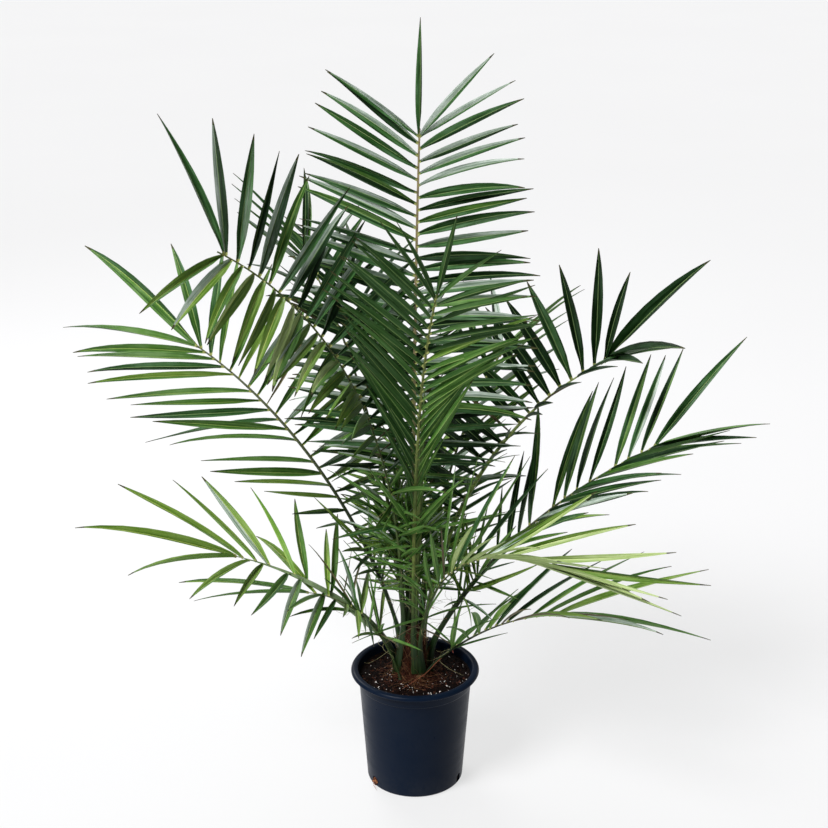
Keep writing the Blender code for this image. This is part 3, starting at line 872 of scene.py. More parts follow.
    def arched_root(self) -> Surface:
        """A quadratic curve with a wave of sines on it, thickest near its far end, in finish 1."""
        t = np.linspace(0, 1, 24)[:, None]
        wave = np.concatenate([np.sin(11 * t), np.cos(8 * t), np.sin(9 * t)], axis=1) * self.arch_sway
        line = bend(*np.array(self.arch_line), t) + wave
        return tubes(line[None], np.interp(t.T, [0, 0.5, 0.8, 1], self.arch_radii), 8).wearing(1)

    def build_drain_roots(self, effects: Effects) -> Piece:
        """A knot of copper roots that has grown out of one drain slot, with two wisps that hang from it.

        Each root is a loop on a flattened ball in the slot; the wisps bend down to the floor.
        """
        chance = np.random.default_rng(55)
        n, pot = self.knot_count, self.pot
        out, aside = pot.ways(pot.slot_first + 360 / pot.slot_count)
        wall = pot.outer_radius(pot.slot_sill)
        middle = out * (wall - 0.0002) + UP * (pot.slot_sill + self.knot_height)
        t = np.linspace(0, 1, 14)
        first, second = unit(chance.normal(size=(n, 3))), unit(chance.normal(size=(n, 3)))
        size = chance.uniform(0.5, 1.0, (n, 1, 1)) * self.knot_radius
        loop = (first[:, None] * np.cos(5 * t)[:, None] + second[:, None] * np.sin(5 * t)[:, None]) * size
        loop = loop - out * (loop @ out)[..., None] * self.knot_flattened
        knot = tubes(middle + loop, np.full((n, len(t)), self.knot_thickness), 5)
        knot = knot.sharing(n, [0, 1], [0.6, 0.4], chance)
        t = t[:, None]
        fall = np.stack([middle + out * (0.002 + 0.006 * np.sin(2.6 * t * share)) + aside * sway * t
                         - UP * 0.0092 * t ** 1.5 for share, sway in self.wisps])
        wisps = tubes(fall, np.full((len(self.wisps), len(t)), self.wisp_thickness), 5).wearing(2)
        finishes = (self.root, self.copper_root, self.pale_root)
        return Surface.joined([knot, wisps]).to_object("drain_roots", dressed(finishes, effects))


# ---- trunk

@dataclass
class Trunk:
    """The short fibrous trunk, ridged by old leaf bases and wrapped in strands."""

    foot_radius: float = 0.031
    neck_radius: float = 0.0225
    tip_radius: float = 0.009
    height: float = 0.098
    foot: float = 0.2093
    foot_x: float = -0.006
    lean_x: float = 0.004
    lean_y: float = 0.003
    ridge: float = 0.0012
    roughness: float = 0.0009
    strand_count: int = 420
    strand_radii: tuple = (0.00022, 0.00055)
    loose_end: float = 0.012
    bark: FibreFinish = FibreFinish(
        "trunk fibre", (0.040, 0.012, 0.006), (0.005, 0.0025, 0.002), 0.85, 60.0, 5.0)
    strand_red: FibreFinish = FibreFinish("rust strands", (0.115, 0.036, 0.017), (0.032, 0.012, 0.008), 0.75)
    strand_straw: FibreFinish = FibreFinish(
        "straw strands", (0.26, 0.15, 0.075), (0.10, 0.045, 0.025), 0.75)

    def radius(self, share: Array) -> Array:
        """Flares at the foot by a fourth power and rounds off at the top."""
        flare = (self.foot_radius - self.neck_radius) * (1 - share) ** 4
        shoulder = np.sqrt(np.maximum(1 - share ** 4, 0.0))
        return (self.neck_radius - self.tip_radius) * shoulder + self.tip_radius + flare

    def axis(self, share: Array) -> Array:
        """A point of the leaning axis at each share of the height."""
        share = np.asarray(share, dtype=float)
        x, y = self.foot_x + self.lean_x * share, self.lean_y * share
        return np.stack([x, y, self.foot + self.height * share], -1)

    def skin(self, share: Array, angle: Array, proud: Array | float = 0.0) -> Array:
        """A point on the ridged skin, or a distance proud of it."""
        radius = self.radius(share) + self.ridge * np.sin(5 * angle + 9 * share) + proud
        return self.axis(share) + around(radius, angle)

    def build(self, effects: Effects) -> list[Piece]:
        """Builds the ridged body and the strands on it."""
        body, strands = self.build_body(effects), self.build_strands(effects)
        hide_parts("trunk")
        for piece in (body, strands):
            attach(piece, "root")
        return [body, strands]

    def build_body(self, effects: Effects) -> Piece:
        """A grid of angle and height: the skin, roughened by ripples."""
        share, angle = np.meshgrid(np.linspace(0, 1, 56), np.arange(90) * 2 * np.pi / 90, indexing="ij")
        plain = self.skin(share, angle)
        rough = ripple(plain * np.array([1, 1, 0.35]), 0.006, 16, 7) * self.roughness
        grid = self.skin(share, angle, rough)
        return closed_grid(grid[None]).to_object("trunk_body", [self.bark.material(effects)], 70)

    def build_strands(self, effects: Effects) -> Piece:
        """Strands that wrap the trunk on a slant, some with a loose end that stands off.

        Height and angle grow evenly along a strand, and its loose end stands off by the square.
        """
        chance = np.random.default_rng(61)
        n = self.strand_count
        t = np.linspace(0, 1, 10)[None]
        angle = chance.uniform(0, 2 * np.pi, (n, 1))
        angle = angle + chance.choice([-1, 1], (n, 1)) * chance.uniform(0.1, 1.1, (n, 1)) * t
        start = chance.uniform(0.0, 0.75, (n, 1)) ** 1.2
        share = np.clip(start + chance.uniform(0.08, 0.40, (n, 1)) * t, 0, 0.98)
        loose = chance.uniform(0, 1, (n, 1)) ** 4 * self.loose_end
        wave = 0.0006 * np.sin(14 * t + angle * 3)
        proud = 0.0006 + chance.uniform(0, 0.002, (n, 1)) + loose * t ** 2 + wave
        radii = chance.uniform(*self.strand_radii, (n, 1)) * (1 - 0.5 * t)
        strands = tubes(self.skin(share, angle, proud), radii, 4).sharing(n, [0, 1], [0.72, 0.28], chance)
        return strands.to_object("trunk_strands", dressed((self.strand_red, self.strand_straw), effects))


# ---- the rule of a frond

class Shade(Enum):
    """The green that one side of a frond's leaflets is dealt."""

    DARK = "dark"
    DEEP = "deep"
    MID = "mid"
    FRESH = "fresh"
    PALE = "pale"
    # Painted sheen: a whitish grey-green that stands in for a reflection on the leaflet.
    ASH = "ash"
    DRY = "withered"


class Stalk(Enum):
    """The colour of a frond's stalk."""

    CREAM = "cream"
    OLIVE = "olive"
    LIME = "lime"
    DARK = "dark"
    STRIPED = "striped"
    FROST = "frosted"


@dataclass(frozen=True)
class Trim:
    """How a frond's finer leaflets and its stalk depart from its solid.

    Pairs are for its left and right side. A splay turns leaflets towards the frond's tip, in
    degrees: foot_splay at the blade's foot, tip_splay at its tip, and end_splay on the last pair
    as well. size is a share of the solid's length, to which the last pair adds its end_gain. keep
    is the share of leaflets kept, slim narrows them, dry is the share withered, and the sheen factor
    for the left scales the share of left leaflets with a painted sheen. extra lists leaflets of the
    scene alone, as side, place on the blade and share of length. foot_turn moves the stalk's foot
    round the trunk, in degrees.
    """

    breadth: float
    stray: float = 1.0
    dry: float = 0.03
    keep: tuple = (1.0, 1.0)
    slim: tuple = (1.0, 1.0)
    size: tuple = (1.0, 1.0)
    foot_splay: tuple = (0.0, 0.0)
    tip_splay: tuple = (0.0, 0.0)
    end_splay: tuple = (0.0, 0.0)
    end_gain: tuple = (0.0, 0.0)
    extra: tuple = ()
    foot_turn: float = 0.0
    foot_gain: float = 1.0
    stalk_gain: float = 1.0
    # Scales the share of painted sheen on the left side.
    painted_sheen_left: float = 1.0


@dataclass(frozen=True)
class Frond:
    """How one frond stands, arches and carries its leaflets. Angles are in degrees."""

    name: str
    heading: float
    sweep: float
    rise: float
    bow: float
    curl: float
    length: float
    petiole_share: float
    spacing: float
    roll_foot: float
    roll_tip: float
    leaflet: float
    tip_gain: float
    lift_left: float
    lift_right: float
    forward_foot: float
    forward_tip: float
    forward_end: float
    sag: float
    foot_height: float
    foot_radius: float
    end_leaflet: bool
    left: Shade
    right: Shade
    end: Shade
    end_share: float
    # Share of leaflets whose tipward half wears the painted sheen.
    ash: float
    stalk: Stalk
    trim: Trim

    def frame(self, share: Array) -> tuple[Array, Array, Array]:
        """Tangent, sideways and upward directions at shares of the midrib's length.

        The elevation falls by a power of the share, the heading swings evenly, and the blade
        rolls evenly about the tangent.
        """
        share = np.asarray(share, dtype=float)
        elevation = np.radians(self.rise - self.bow * share ** self.curl)
        heading = np.radians(self.heading + self.sweep * share)
        roll = np.radians(self.roll_foot + (self.roll_tip - self.roll_foot) * share)[..., None]
        flat = np.zeros_like(heading)
        level = np.stack([np.cos(heading), np.sin(heading), flat], -1)
        tangent = level * np.cos(elevation)[..., None] + UP * np.sin(elevation)[..., None]
        aside = np.stack([np.sin(heading), -np.cos(heading), flat], -1)
        above = np.cross(aside, tangent)
        sideways = aside * np.cos(roll) + above * np.sin(roll)
        return tangent, sideways, above * np.cos(roll) - aside * np.sin(roll)


# Short names for the table. Its values stand in the order of Frond's fields.
L, R = Shade, Stalk
FRONDS = (
    Frond("frond_tall_rear", 90, -14, 86, 3, 1.5, 0.94, 0.26, 0.0205, 9, 2, 0.230, -0.12, 8, 15, 8, 24, 44,
          0.09, 0.258, 0.012, True, L.DEEP, L.DEEP, L.DEEP, 0.1, 0.50, R.CREAM,
          Trim(0.090, tip_splay=(0, -8), end_splay=(-5, 11))),
    Frond("frond_front", 273, 14, 87, 28, 1.7, 0.755, 0.37, 0.0205, -10, 25, 0.217, -0.16, -8, 3, 78, 16, 61,
          0.04, 0.258, 0.014, True, L.MID, L.DEEP, L.DARK, 0.60, 0.12, R.STRIPED,
          Trim(0.080, dry=0.0, foot_turn=14, foot_gain=0.0)),
    Frond("frond_upper_left", 189, 4, 89, 59, 1.8, 0.87, 0.38, 0.022, -1, 33, 0.235, -0.07, 6, 28, 5, 5, 35,
          0.16, 0.254, 0.015, False, L.FRESH, L.DEEP, L.MID, 0.0, 0.74, R.OLIVE,
          Trim(0.102, foot_splay=(24, 0), tip_splay=(-6, 0), end_splay=(7, 12), end_gain=(0.1, 0.26),
               painted_sheen_left=0.25)),
    Frond("frond_mid_left", 140, 0, 75, 59, 0.80, 0.745, 0.28, 0.027, -44, 40, 0.250, 0.22, 0, -4, 4, 51, 72,
          0.02, 0.248, 0.020, False, L.MID, L.MID, L.DEEP, 0.1, 0.16, R.DARK,
          Trim(0.074, 1.4, 0.04, (0.86, 1.0), foot_splay=(0, -8), tip_splay=(0, -14), end_splay=(0, 20),
               end_gain=(0.12, 0.40), stalk_gain=1.25)),
    Frond("frond_low_left_front", 188, -10, 69, 66, 1.6, 0.24, 0.34, 0.023, 5, -4, 0.186, 0.36, 15,
          13, 5, 7, 79,
          0.16, 0.222, 0.026, False, L.MID, L.FRESH, L.MID, 0.2, 0.22, R.OLIVE,
          Trim(0.074, 1.8, 0.12, (0.75, 0.75), size=(0.8, 1.0), foot_turn=42, foot_gain=1.6)),
    Frond("frond_low_left_back", 172, 25, 58, 37, 0.7, 0.375, 0.33, 0.026, 18, 8, 0.191, 0.45, 4,
          14, 5, 36, 73,
          0.10, 0.240, 0.022, False, L.MID, L.FRESH, L.FRESH, 0.3, 0.26, R.FROST,
          Trim(0.094, 1.6, 0.08, (0.67, 0.67), size=(0.9, 1.06), tip_splay=(-8, 9), stalk_gain=2.7)),
    Frond("frond_upper_right", 26, -11, 82, 62, 1.35, 0.67, 0.32, 0.024, 10, -10, 0.180, 0.42, 41,
          31, 5, 2, 58,
          0.15, 0.250, 0.015, False, L.DARK, L.DARK, L.DARK, 0.1, 0.04, R.LIME,
          Trim(0.138, keep=(1.0, 0.8), slim=(0.84, 0.9), size=(1.0, 0.52), foot_splay=(0, 20),
               tip_splay=(0, 10), end_splay=(6, -54), end_gain=(0.20, 0.56),
               extra=((-1, 0.985, 0.66), (1, 0.99, 0.8)), stalk_gain=1.8)),
    Frond("frond_right", 16, -12, 68, 43, 0.71, 0.59, 0.32, 0.026, -24, -4, 0.237, 0.04, 27, 17, 50, 44, 52,
          0.08, 0.236, 0.024, False, L.DEEP, L.DEEP, L.DEEP, 0.1, 0.08, R.DARK,
          Trim(0.078, 1.2, 0.05, (0.8, 1.0), slim=(1.0, 1.05), end_splay=(9, -13), end_gain=(0.15, 0.11),
               stalk_gain=1.2)),
    Frond("frond_low_right_front", 301, 25, 84, 84, 1.33, 0.425, 0.26, 0.024, -3, -30, 0.236, 0.33,
          48, 32, 44, 76, 81,
          0.0, 0.240, 0.020, False, L.MID, L.FRESH, L.PALE, 0.60, 0.20, R.OLIVE,
          Trim(0.058, 1.2, 0.06, foot_splay=(0, 5), tip_splay=(7, 5), foot_turn=10, foot_gain=0.8,
               extra=((-1, 0.93, 0.6), (1, 0.78, 0.95), (1, 0.93, 0.9)))),
    Frond("frond_low_right", 352, -16, 44, 32, 1.4, 0.285, 0.26, 0.023, 28, -6, 0.236, 0.22, 13,
          22, 5, 64, 62,
          0.16, 0.222, 0.026, False, L.MID, L.FRESH, L.FRESH, 0.3, 0.30, R.DARK,
          Trim(0.068, 1.5, 0.32, (0.8, 0.9), foot_splay=(0, 10), tip_splay=(0, 10), end_splay=(0, 10),
               foot_turn=-32, foot_gain=1.3)),
    Frond("frond_rear", 100, 10, 80, 62, 1.3, 0.78, 0.32, 0.023, 5, -5, 0.20, 0.0, 22, 22, 5, 40, 60,
          0.12, 0.246, 0.018, False, L.DARK, L.DEEP, L.DEEP, 0.1, 0.30, R.OLIVE,
          Trim(0.080, 4.0, keep=(0.6, 0.5), foot_splay=(0, -22), tip_splay=(0, 12))),
    Frond("frond_rear_right", 66, -6, 76, 52, 1.3, 0.62, 0.32, 0.023, -5, 8, 0.20, 0.1, 22, 22, 8, 42, 62,
          0.12, 0.242, 0.021, False, L.DARK, L.DEEP, L.DEEP, 0.1, 0.20, R.OLIVE,
          Trim(0.084, 4.0, keep=(0.7, 0.7), foot_splay=(-12, 22))),
    Frond("frond_rear_left", 130, -2, 82, 40, 1.5, 0.78, 0.34, 0.023, 5, -8, 0.20, 0.0, 20, 20, 5, 40, 60,
          0.10, 0.254, 0.015, False, L.DEEP, L.DARK, L.DEEP, 0.1, 0.35, R.OLIVE,
          Trim(0.074, 3.2, keep=(0.6, 0.6))),
    Frond("frond_low_rear", 78, 12, 56, 46, 1.3, 0.42, 0.30, 0.024, 5, -5, 0.19, 0.25, 18, 18, 5, 45, 66,
          0.14, 0.224, 0.026, False, L.MID, L.DEEP, L.MID, 0.1, 0.15, R.OLIVE, Trim(0.072, 3.2)),
)


@dataclass
class Midrib:
    """The arched line of one frond, walked in even steps from its foot."""

    frond: Frond
    trunk: Trunk
    step: float = 0.05
    least_steps: int = 8
    foot_width: float = 0.0150
    width_low: float = 0.0078
    width_tip: float = 0.0030
    sheath_share: float = 0.10
    thickness_share: float = 0.72
    mix_level: float = 0.209
    steps: int = field(init=False)
    points: Array = field(init=False)

    def __post_init__(self) -> None:
        """Walks the coarse line that the leaflets' roots stand on."""
        self.steps = max(self.least_steps, round(self.frond.length / self.step))
        self.points = self.walk(self.steps)

    def walk(self, steps: int) -> Array:
        """Adds up equal steps along the tangent at the middle of each step."""
        heading = math.radians(self.frond.heading)
        out = np.array([math.cos(heading), math.sin(heading), 0.0]) * self.frond.foot_radius
        foot = self.trunk.axis((self.frond.foot_height - self.mix_level) / self.trunk.height) + out
        tangent, _, _ = self.frond.frame((np.arange(steps) + 0.5) / steps)
        return np.concatenate([[foot], foot + np.cumsum(tangent, axis=0) * self.frond.length / steps])

    def point(self, share: Array) -> Array:
        """The place on the line at shares of its length."""
        marks = np.linspace(0, 1, self.steps + 1)
        return np.stack([np.interp(share, marks, self.points[:, k]) for k in range(3)], -1)

    def width(self, share: Array) -> Array:
        """Width of the stalk: a broad sheath at the foot, then an even taper to the tip."""
        share = np.asarray(share, dtype=float)
        even = self.width_low + (self.width_tip - self.width_low) * share
        sheath = (self.foot_width - self.width_low) * (1 - smooth(share / self.sheath_share))
        return (even + sheath) * math.sqrt(self.frond.length / 0.7)

    def solid(self, grow: float) -> tuple[Array, list]:
        """The five-sided solid of the stalk, grown by a margin, for the touch test."""
        share = np.linspace(0, 1, self.steps + 1)
        _, aside, above = self.frond.frame(share)
        half = self.width(share) / 2 + grow
        high = half * self.thickness_share + grow
        turns = math.pi / 2 - math.pi / 5 - 2 * math.pi * np.arange(5) / 5
        rings = (self.points[:, None] + aside[:, None] * (half[:, None] * np.cos(turns))[..., None]
                 + above[:, None] * (high[:, None] * np.sin(turns))[..., None])
        surface = closed_grid(rings[None])
        return surface.points, [tuple(int(k) for k in face if k >= 0) for face in surface.faces]


@dataclass
class Leaflet:
    """One leaflet's place on its midrib and the way it points.

    side is -1 left, 1 right and 0 at the end.
    """

    share: float
    side: int
    length: float
    forward: float
    lift: float
    root: Array = field(default_factory=lambda: np.zeros(3))
    along: Array = field(default_factory=lambda: np.zeros(3))
    face: Array = field(default_factory=lambda: np.zeros(3))


def each(leaflets: list[Leaflet], name: str) -> Array:
    """One value of every leaflet, as an array."""
    return np.array([getattr(leaflet, name) for leaflet in leaflets])


@dataclass
class LeafletRule:
    """Where a frond's leaflets stand: their order, lengths, lean and lift, and how they keep clear."""

    width_share: float = 0.070
    thickness_share: float = 0.0135
    least_thickness: float = 0.0012
    belly: float = 0.38
    last_root: float = 0.985
    shortest: float = 0.045
    margin: float = 0.0007
    basal_pairs: int = 14
    basal_start: float = 0.45
    bare_foot: float = 0.120
    turns: tuple = (
        (0, 0), (0, 8), (0, -8), (8, 0), (-8, 0), (0, 16), (0, -16), (10, 12), (-10, 12), (10, -12))
    shortenings: tuple = (1.0, 0.8, 0.6, 0.42)

    @staticmethod
    def length_at(frond: Frond, share: float) -> float:
        """Short at the blade's foot, soon full, and changed by the tip gain near the tip."""
        return frond.leaflet * (1 + frond.tip_gain * share ** 4) * (0.35 + 0.65 * float(smooth(share / 0.3)))

    @staticmethod
    def forward_at(frond: Frond, share: float) -> float:
        """Lean forward: an even change along the blade, and a quick one at its end."""
        even = frond.forward_foot + (frond.forward_tip - frond.forward_foot) * share
        return even + (frond.forward_end - frond.forward_tip) * share ** 8

    def deal(self, frond: Frond, seed: int) -> list[Leaflet]:
        """Every leaflet of a frond, pair by pair from the foot of the blade to its end."""
        chance = random.Random(seed)
        blade = 1 - frond.petiole_share
        pairs = round(frond.length * blade / frond.spacing)
        dealt = []
        for pair in range(pairs + 1):
            for side in (-1, 1):
                share = min((pair + 0.25 * side * (pair < pairs)) / pairs, 1.0)
                if share < 0:
                    continue
                length = self.length_at(frond, share) * (1 + chance.uniform(-0.05, 0.05))
                forward = self.forward_at(frond, share) + chance.uniform(-4, 4)
                lift = (frond.lift_left if side < 0 else frond.lift_right) + chance.uniform(-5, 5)
                dealt.append(Leaflet(frond.petiole_share + blade * share, side, length, forward, lift))
        if frond.end_leaflet:
            dealt.append(Leaflet(1.0, 0, self.length_at(frond, 1.0), 90.0, 0.0))
        return dealt

    @staticmethod
    def thinned(frond: Frond, dealt: list[Leaflet]) -> list[Leaflet]:
        """The blade's leaflets less those that the frond has lost, though none of the last two pairs.

        The k-th leaflet of a side stays where the whole part of k times the side's keep rises.
        """
        end = len(dealt) - 4 - frond.end_leaflet
        kept = []
        for k, leaflet in enumerate(dealt):
            keep = frond.trim.keep[leaflet.side > 0]
            if k >= end or int((k // 2 + 1) * keep) > int((k // 2) * keep):
                kept.append(leaflet)
        return kept

    def deal_basal(self, frond: Frond, seed: int) -> list[Leaflet]:
        """Slim short leaflets down the petiole, which dwindle towards its foot and stand at all angles."""
        chance = random.Random(100 + seed)
        bare = self.bare_foot / (frond.length * frond.petiole_share)
        lowest = min(max(self.basal_start, bare), 0.85)
        pairs = round(self.basal_pairs * (1 - lowest) / (1 - 0.45))
        dealt = []
        for pair in range(pairs):
            for side in (-1, 1):
                place = lowest + (1 - lowest) * (pair + chance.uniform(0.1, 0.9)) / pairs
                length = (0.015 + 0.14 * place) * chance.uniform(0.7, 1.25)
                forward, lift = chance.uniform(-5, 65), chance.uniform(-22, 60)
                dealt.append(Leaflet(frond.petiole_share * place, side, length, forward, lift))
        return dealt

    def deal_extra(self, frond: Frond) -> list[Leaflet]:
        """Leaflets that stand between the solid's own, where the blade is denser."""
        blade = 1 - frond.petiole_share
        lifts = {-1: frond.lift_left, 1: frond.lift_right}
        return [Leaflet(frond.petiole_share + blade * share, side, self.length_at(frond, share) * size,
                        self.forward_at(frond, share - 0.05), lifts[side])
                for side, share, size in frond.trim.extra]

    def aimed(self, midrib: Midrib, leaflet: Leaflet, turn: tuple, shorten: float) -> Leaflet:
        """The leaflet turned and shortened, with its root, direction and face worked out."""
        frond = midrib.frond
        tangent, aside, above = frond.frame(leaflet.share)
        forward, lift = math.radians(leaflet.forward + turn[0]), math.radians(leaflet.lift + turn[1])
        outward = aside * leaflet.side * math.cos(lift) + above * math.sin(lift)
        along = outward * math.cos(forward) + tangent * math.sin(forward)
        belly = unit(along - UP * frond.sag * self.belly)
        spread = aside if leaflet.side == 0 else tangent
        face = np.cross(unit(spread - belly * (spread @ belly)), belly)
        face = face if face @ above >= 0 else -face
        root = midrib.point(min(leaflet.share, self.last_root))
        return Leaflet(leaflet.share, leaflet.side, leaflet.length * shorten, leaflet.forward, leaflet.lift,
                       root, along, face)

    def solid(self, frond: Frond, leaflet: Leaflet, grow: float) -> tuple[Array, list]:
        """The plain keeled blade of an aimed leaflet: root, triangular belly and sagging tip."""
        half = leaflet.length * self.width_share / 2 + grow
        thick = max(leaflet.length * self.thickness_share, self.least_thickness) + grow
        belly = unit(leaflet.along - UP * frond.sag * self.belly)
        across = np.cross(belly, leaflet.face)
        centre = leaflet.root + belly * leaflet.length * self.belly
        tip = leaflet.root + unit(leaflet.along - UP * frond.sag) * leaflet.length
        points = np.stack([leaflet.root, centre - across * half, centre + across * half,
                           centre - leaflet.face * thick, tip])
        return points, [(0, 1, 2), (0, 2, 3), (0, 3, 1), (4, 2, 1), (4, 3, 2), (4, 1, 3)]


class Clearances:
    """The solids placed so far, each with the frond that it belongs to."""

    def __init__(self, rule: LeafletRule) -> None:
        """Starts with nothing in the way."""
        self.rule = rule
        self.placed: list[tuple] = []

    def add(self, owner: str | None, solid: tuple[Array, list]) -> None:
        """Remembers a solid as in the way of every other frond's leaflets."""
        points, faces = solid
        tree = BVHTree.FromPolygons(points.tolist(), faces)
        self.placed.append((owner, points.min(0), points.max(0), tree))

    def is_free(self, owner: str, solid: tuple[Array, list]) -> bool:
        """Whether a solid touches nothing that belongs to another frond."""
        points, faces = solid
        low, high = points.min(0), points.max(0)
        tree = BVHTree.FromPolygons(points.tolist(), faces)
        for other, other_low, other_high, other_tree in self.placed:
            apart = other == owner or (low > other_high).any() or (high < other_low).any()
            if not apart and tree.overlap(other_tree):
                return False
        return True

    def fitted(self, midrib: Midrib, leaflet: Leaflet) -> Leaflet | None:
        """The leaflet at its first turn, or else shortening, that clears the other fronds, or None."""
        for shorten in self.rule.shortenings:
            if leaflet.length * shorten < self.rule.shortest:
                continue
            for turn in self.rule.turns:
                aimed = self.rule.aimed(midrib, leaflet, turn, shorten)
                if self.is_free(midrib.frond.name, self.rule.solid(midrib.frond, aimed, self.rule.margin)):
                    return aimed
        return None


# ---- the crown

class Wardrobe:
    """Every leaf and stalk finish as a material, with the number that its faces carry.

    A leaf's row holds its body, vein, fold, and bloom with painted sheen, and where they differ
    from the rest its share of bloom and painted sheen, roughness and gloss. A stalk's row holds
    its foot, middle, tip and streak.
    """

    MATT = (0.3, 0.5, 0.1)
    STALK_FOOT = (0.01, 0.03, 0.007)
    TOPS = {
        Shade.DARK: ((0.0016, 0.009, 0.0012), (0.008, 0.032, 0.005),
            (0.2, 0.3, 0.12), (0.04, 0.09, 0.045), 0.35, 0.38, 0.1),
        Shade.DEEP: ((0.005, 0.027, 0.0042), (0.042, 0.134, 0.026),
            (0.26, 0.38, 0.15), (0.14, 0.25, 0.15)),
        Shade.MID: ((0.014, 0.06, 0.005), (0.088, 0.216, 0.028),
            (0.36, 0.48, 0.13), (0.22, 0.33, 0.15)),
        Shade.FRESH: ((0.048, 0.122, 0.008), (0.175, 0.3, 0.036),
            (0.46, 0.54, 0.15), (0.32, 0.42, 0.17)),
        Shade.PALE: ((0.21, 0.315, 0.085), (0.46, 0.56, 0.235),
            (0.64, 0.7, 0.38), (0.6, 0.67, 0.44)),
        # The painted sheen: a whitish reflection painted into the colour of a leaflet half.
        Shade.ASH: ((0.16, 0.235, 0.165), (0.4, 0.49, 0.405),
            (0.52, 0.6, 0.48), (0.62, 0.7, 0.64), 0.95, 0.32, 0.4),
        Shade.DRY: ((0.06, 0.06, 0.022), (0.13, 0.11, 0.052),
            (0.22, 0.19, 0.1), (0.2, 0.18, 0.12), 0.4, 0.55, 0.1),
    }
    UNDERS = {
        Shade.DARK: ((0.01, 0.038, 0.006), (0.032, 0.088, 0.016),
            (0.16, 0.24, 0.08), (0.09, 0.15, 0.08), *MATT),
        Shade.DEEP: ((0.018, 0.062, 0.01), (0.058, 0.145, 0.029),
            (0.2, 0.3, 0.09), (0.13, 0.2, 0.1), *MATT),
        Shade.MID: ((0.032, 0.102, 0.013), (0.098, 0.22, 0.04),
            (0.27, 0.38, 0.11), (0.18, 0.28, 0.12), *MATT),
        Shade.FRESH: ((0.08, 0.19, 0.019), (0.18, 0.34, 0.052),
            (0.38, 0.48, 0.14), (0.28, 0.38, 0.15), *MATT),
        Shade.PALE: ((0.22, 0.33, 0.095), (0.38, 0.48, 0.19),
            (0.52, 0.6, 0.28), (0.46, 0.54, 0.3), *MATT),
        Shade.DRY: ((0.07, 0.062, 0.03), (0.12, 0.098, 0.055),
            (0.2, 0.17, 0.1), (0.17, 0.15, 0.1), 0.3, 0.6, 0.1),
    }
    COLLAR = FibreFinish("leaflet collar", (0.38, 0.39, 0.14), (0.24, 0.28, 0.08), 0.5)
    POINT = FibreFinish("dry point", (0.085, 0.085, 0.032), (0.030, 0.030, 0.014), 0.6)
    STALKS = {
        Stalk.CREAM: (STALK_FOOT, (0.12, 0.13, 0.05), (0.34, 0.26, 0.15), (0.2, 0.17, 0.08)),
        Stalk.OLIVE: (STALK_FOOT, (0.036, 0.07, 0.016), (0.085, 0.115, 0.035), (0.15, 0.18, 0.06)),
        Stalk.LIME: ((0.014, 0.042, 0.008), (0.155, 0.255, 0.048), (0.25, 0.34, 0.075), (0.36, 0.42, 0.14)),
        Stalk.STRIPED: (STALK_FOOT, (0.095, 0.165, 0.04), (0.05, 0.092, 0.027), (0.42, 0.42, 0.09)),
        Stalk.FROST: (STALK_FOOT, (0.105, 0.175, 0.07), (0.23, 0.34, 0.16), (0.42, 0.5, 0.3)),
        Stalk.DARK: (STALK_FOOT, (0.016, 0.03, 0.01), (0.06, 0.075, 0.026), (0.05, 0.066, 0.02)),
    }

    def __init__(self, effects: Effects) -> None:
        """Makes each material once and numbers it."""
        made = {}
        for part, word, kind, rows in (("top", "leaf", LeafFinish, self.TOPS),
                                       ("under", "leaf under", LeafFinish, self.UNDERS),
                                       ("stalk", "stalk", StalkFinish, self.STALKS)):
            made |= {(part, key): kind(f"{word} {key.value}", *row) for key, row in rows.items()}
        made |= {("collar", None): self.COLLAR, ("point", None): self.POINT}
        self.number = {key: k for k, key in enumerate(made)}
        self.materials = dressed(tuple(made.values()), effects)


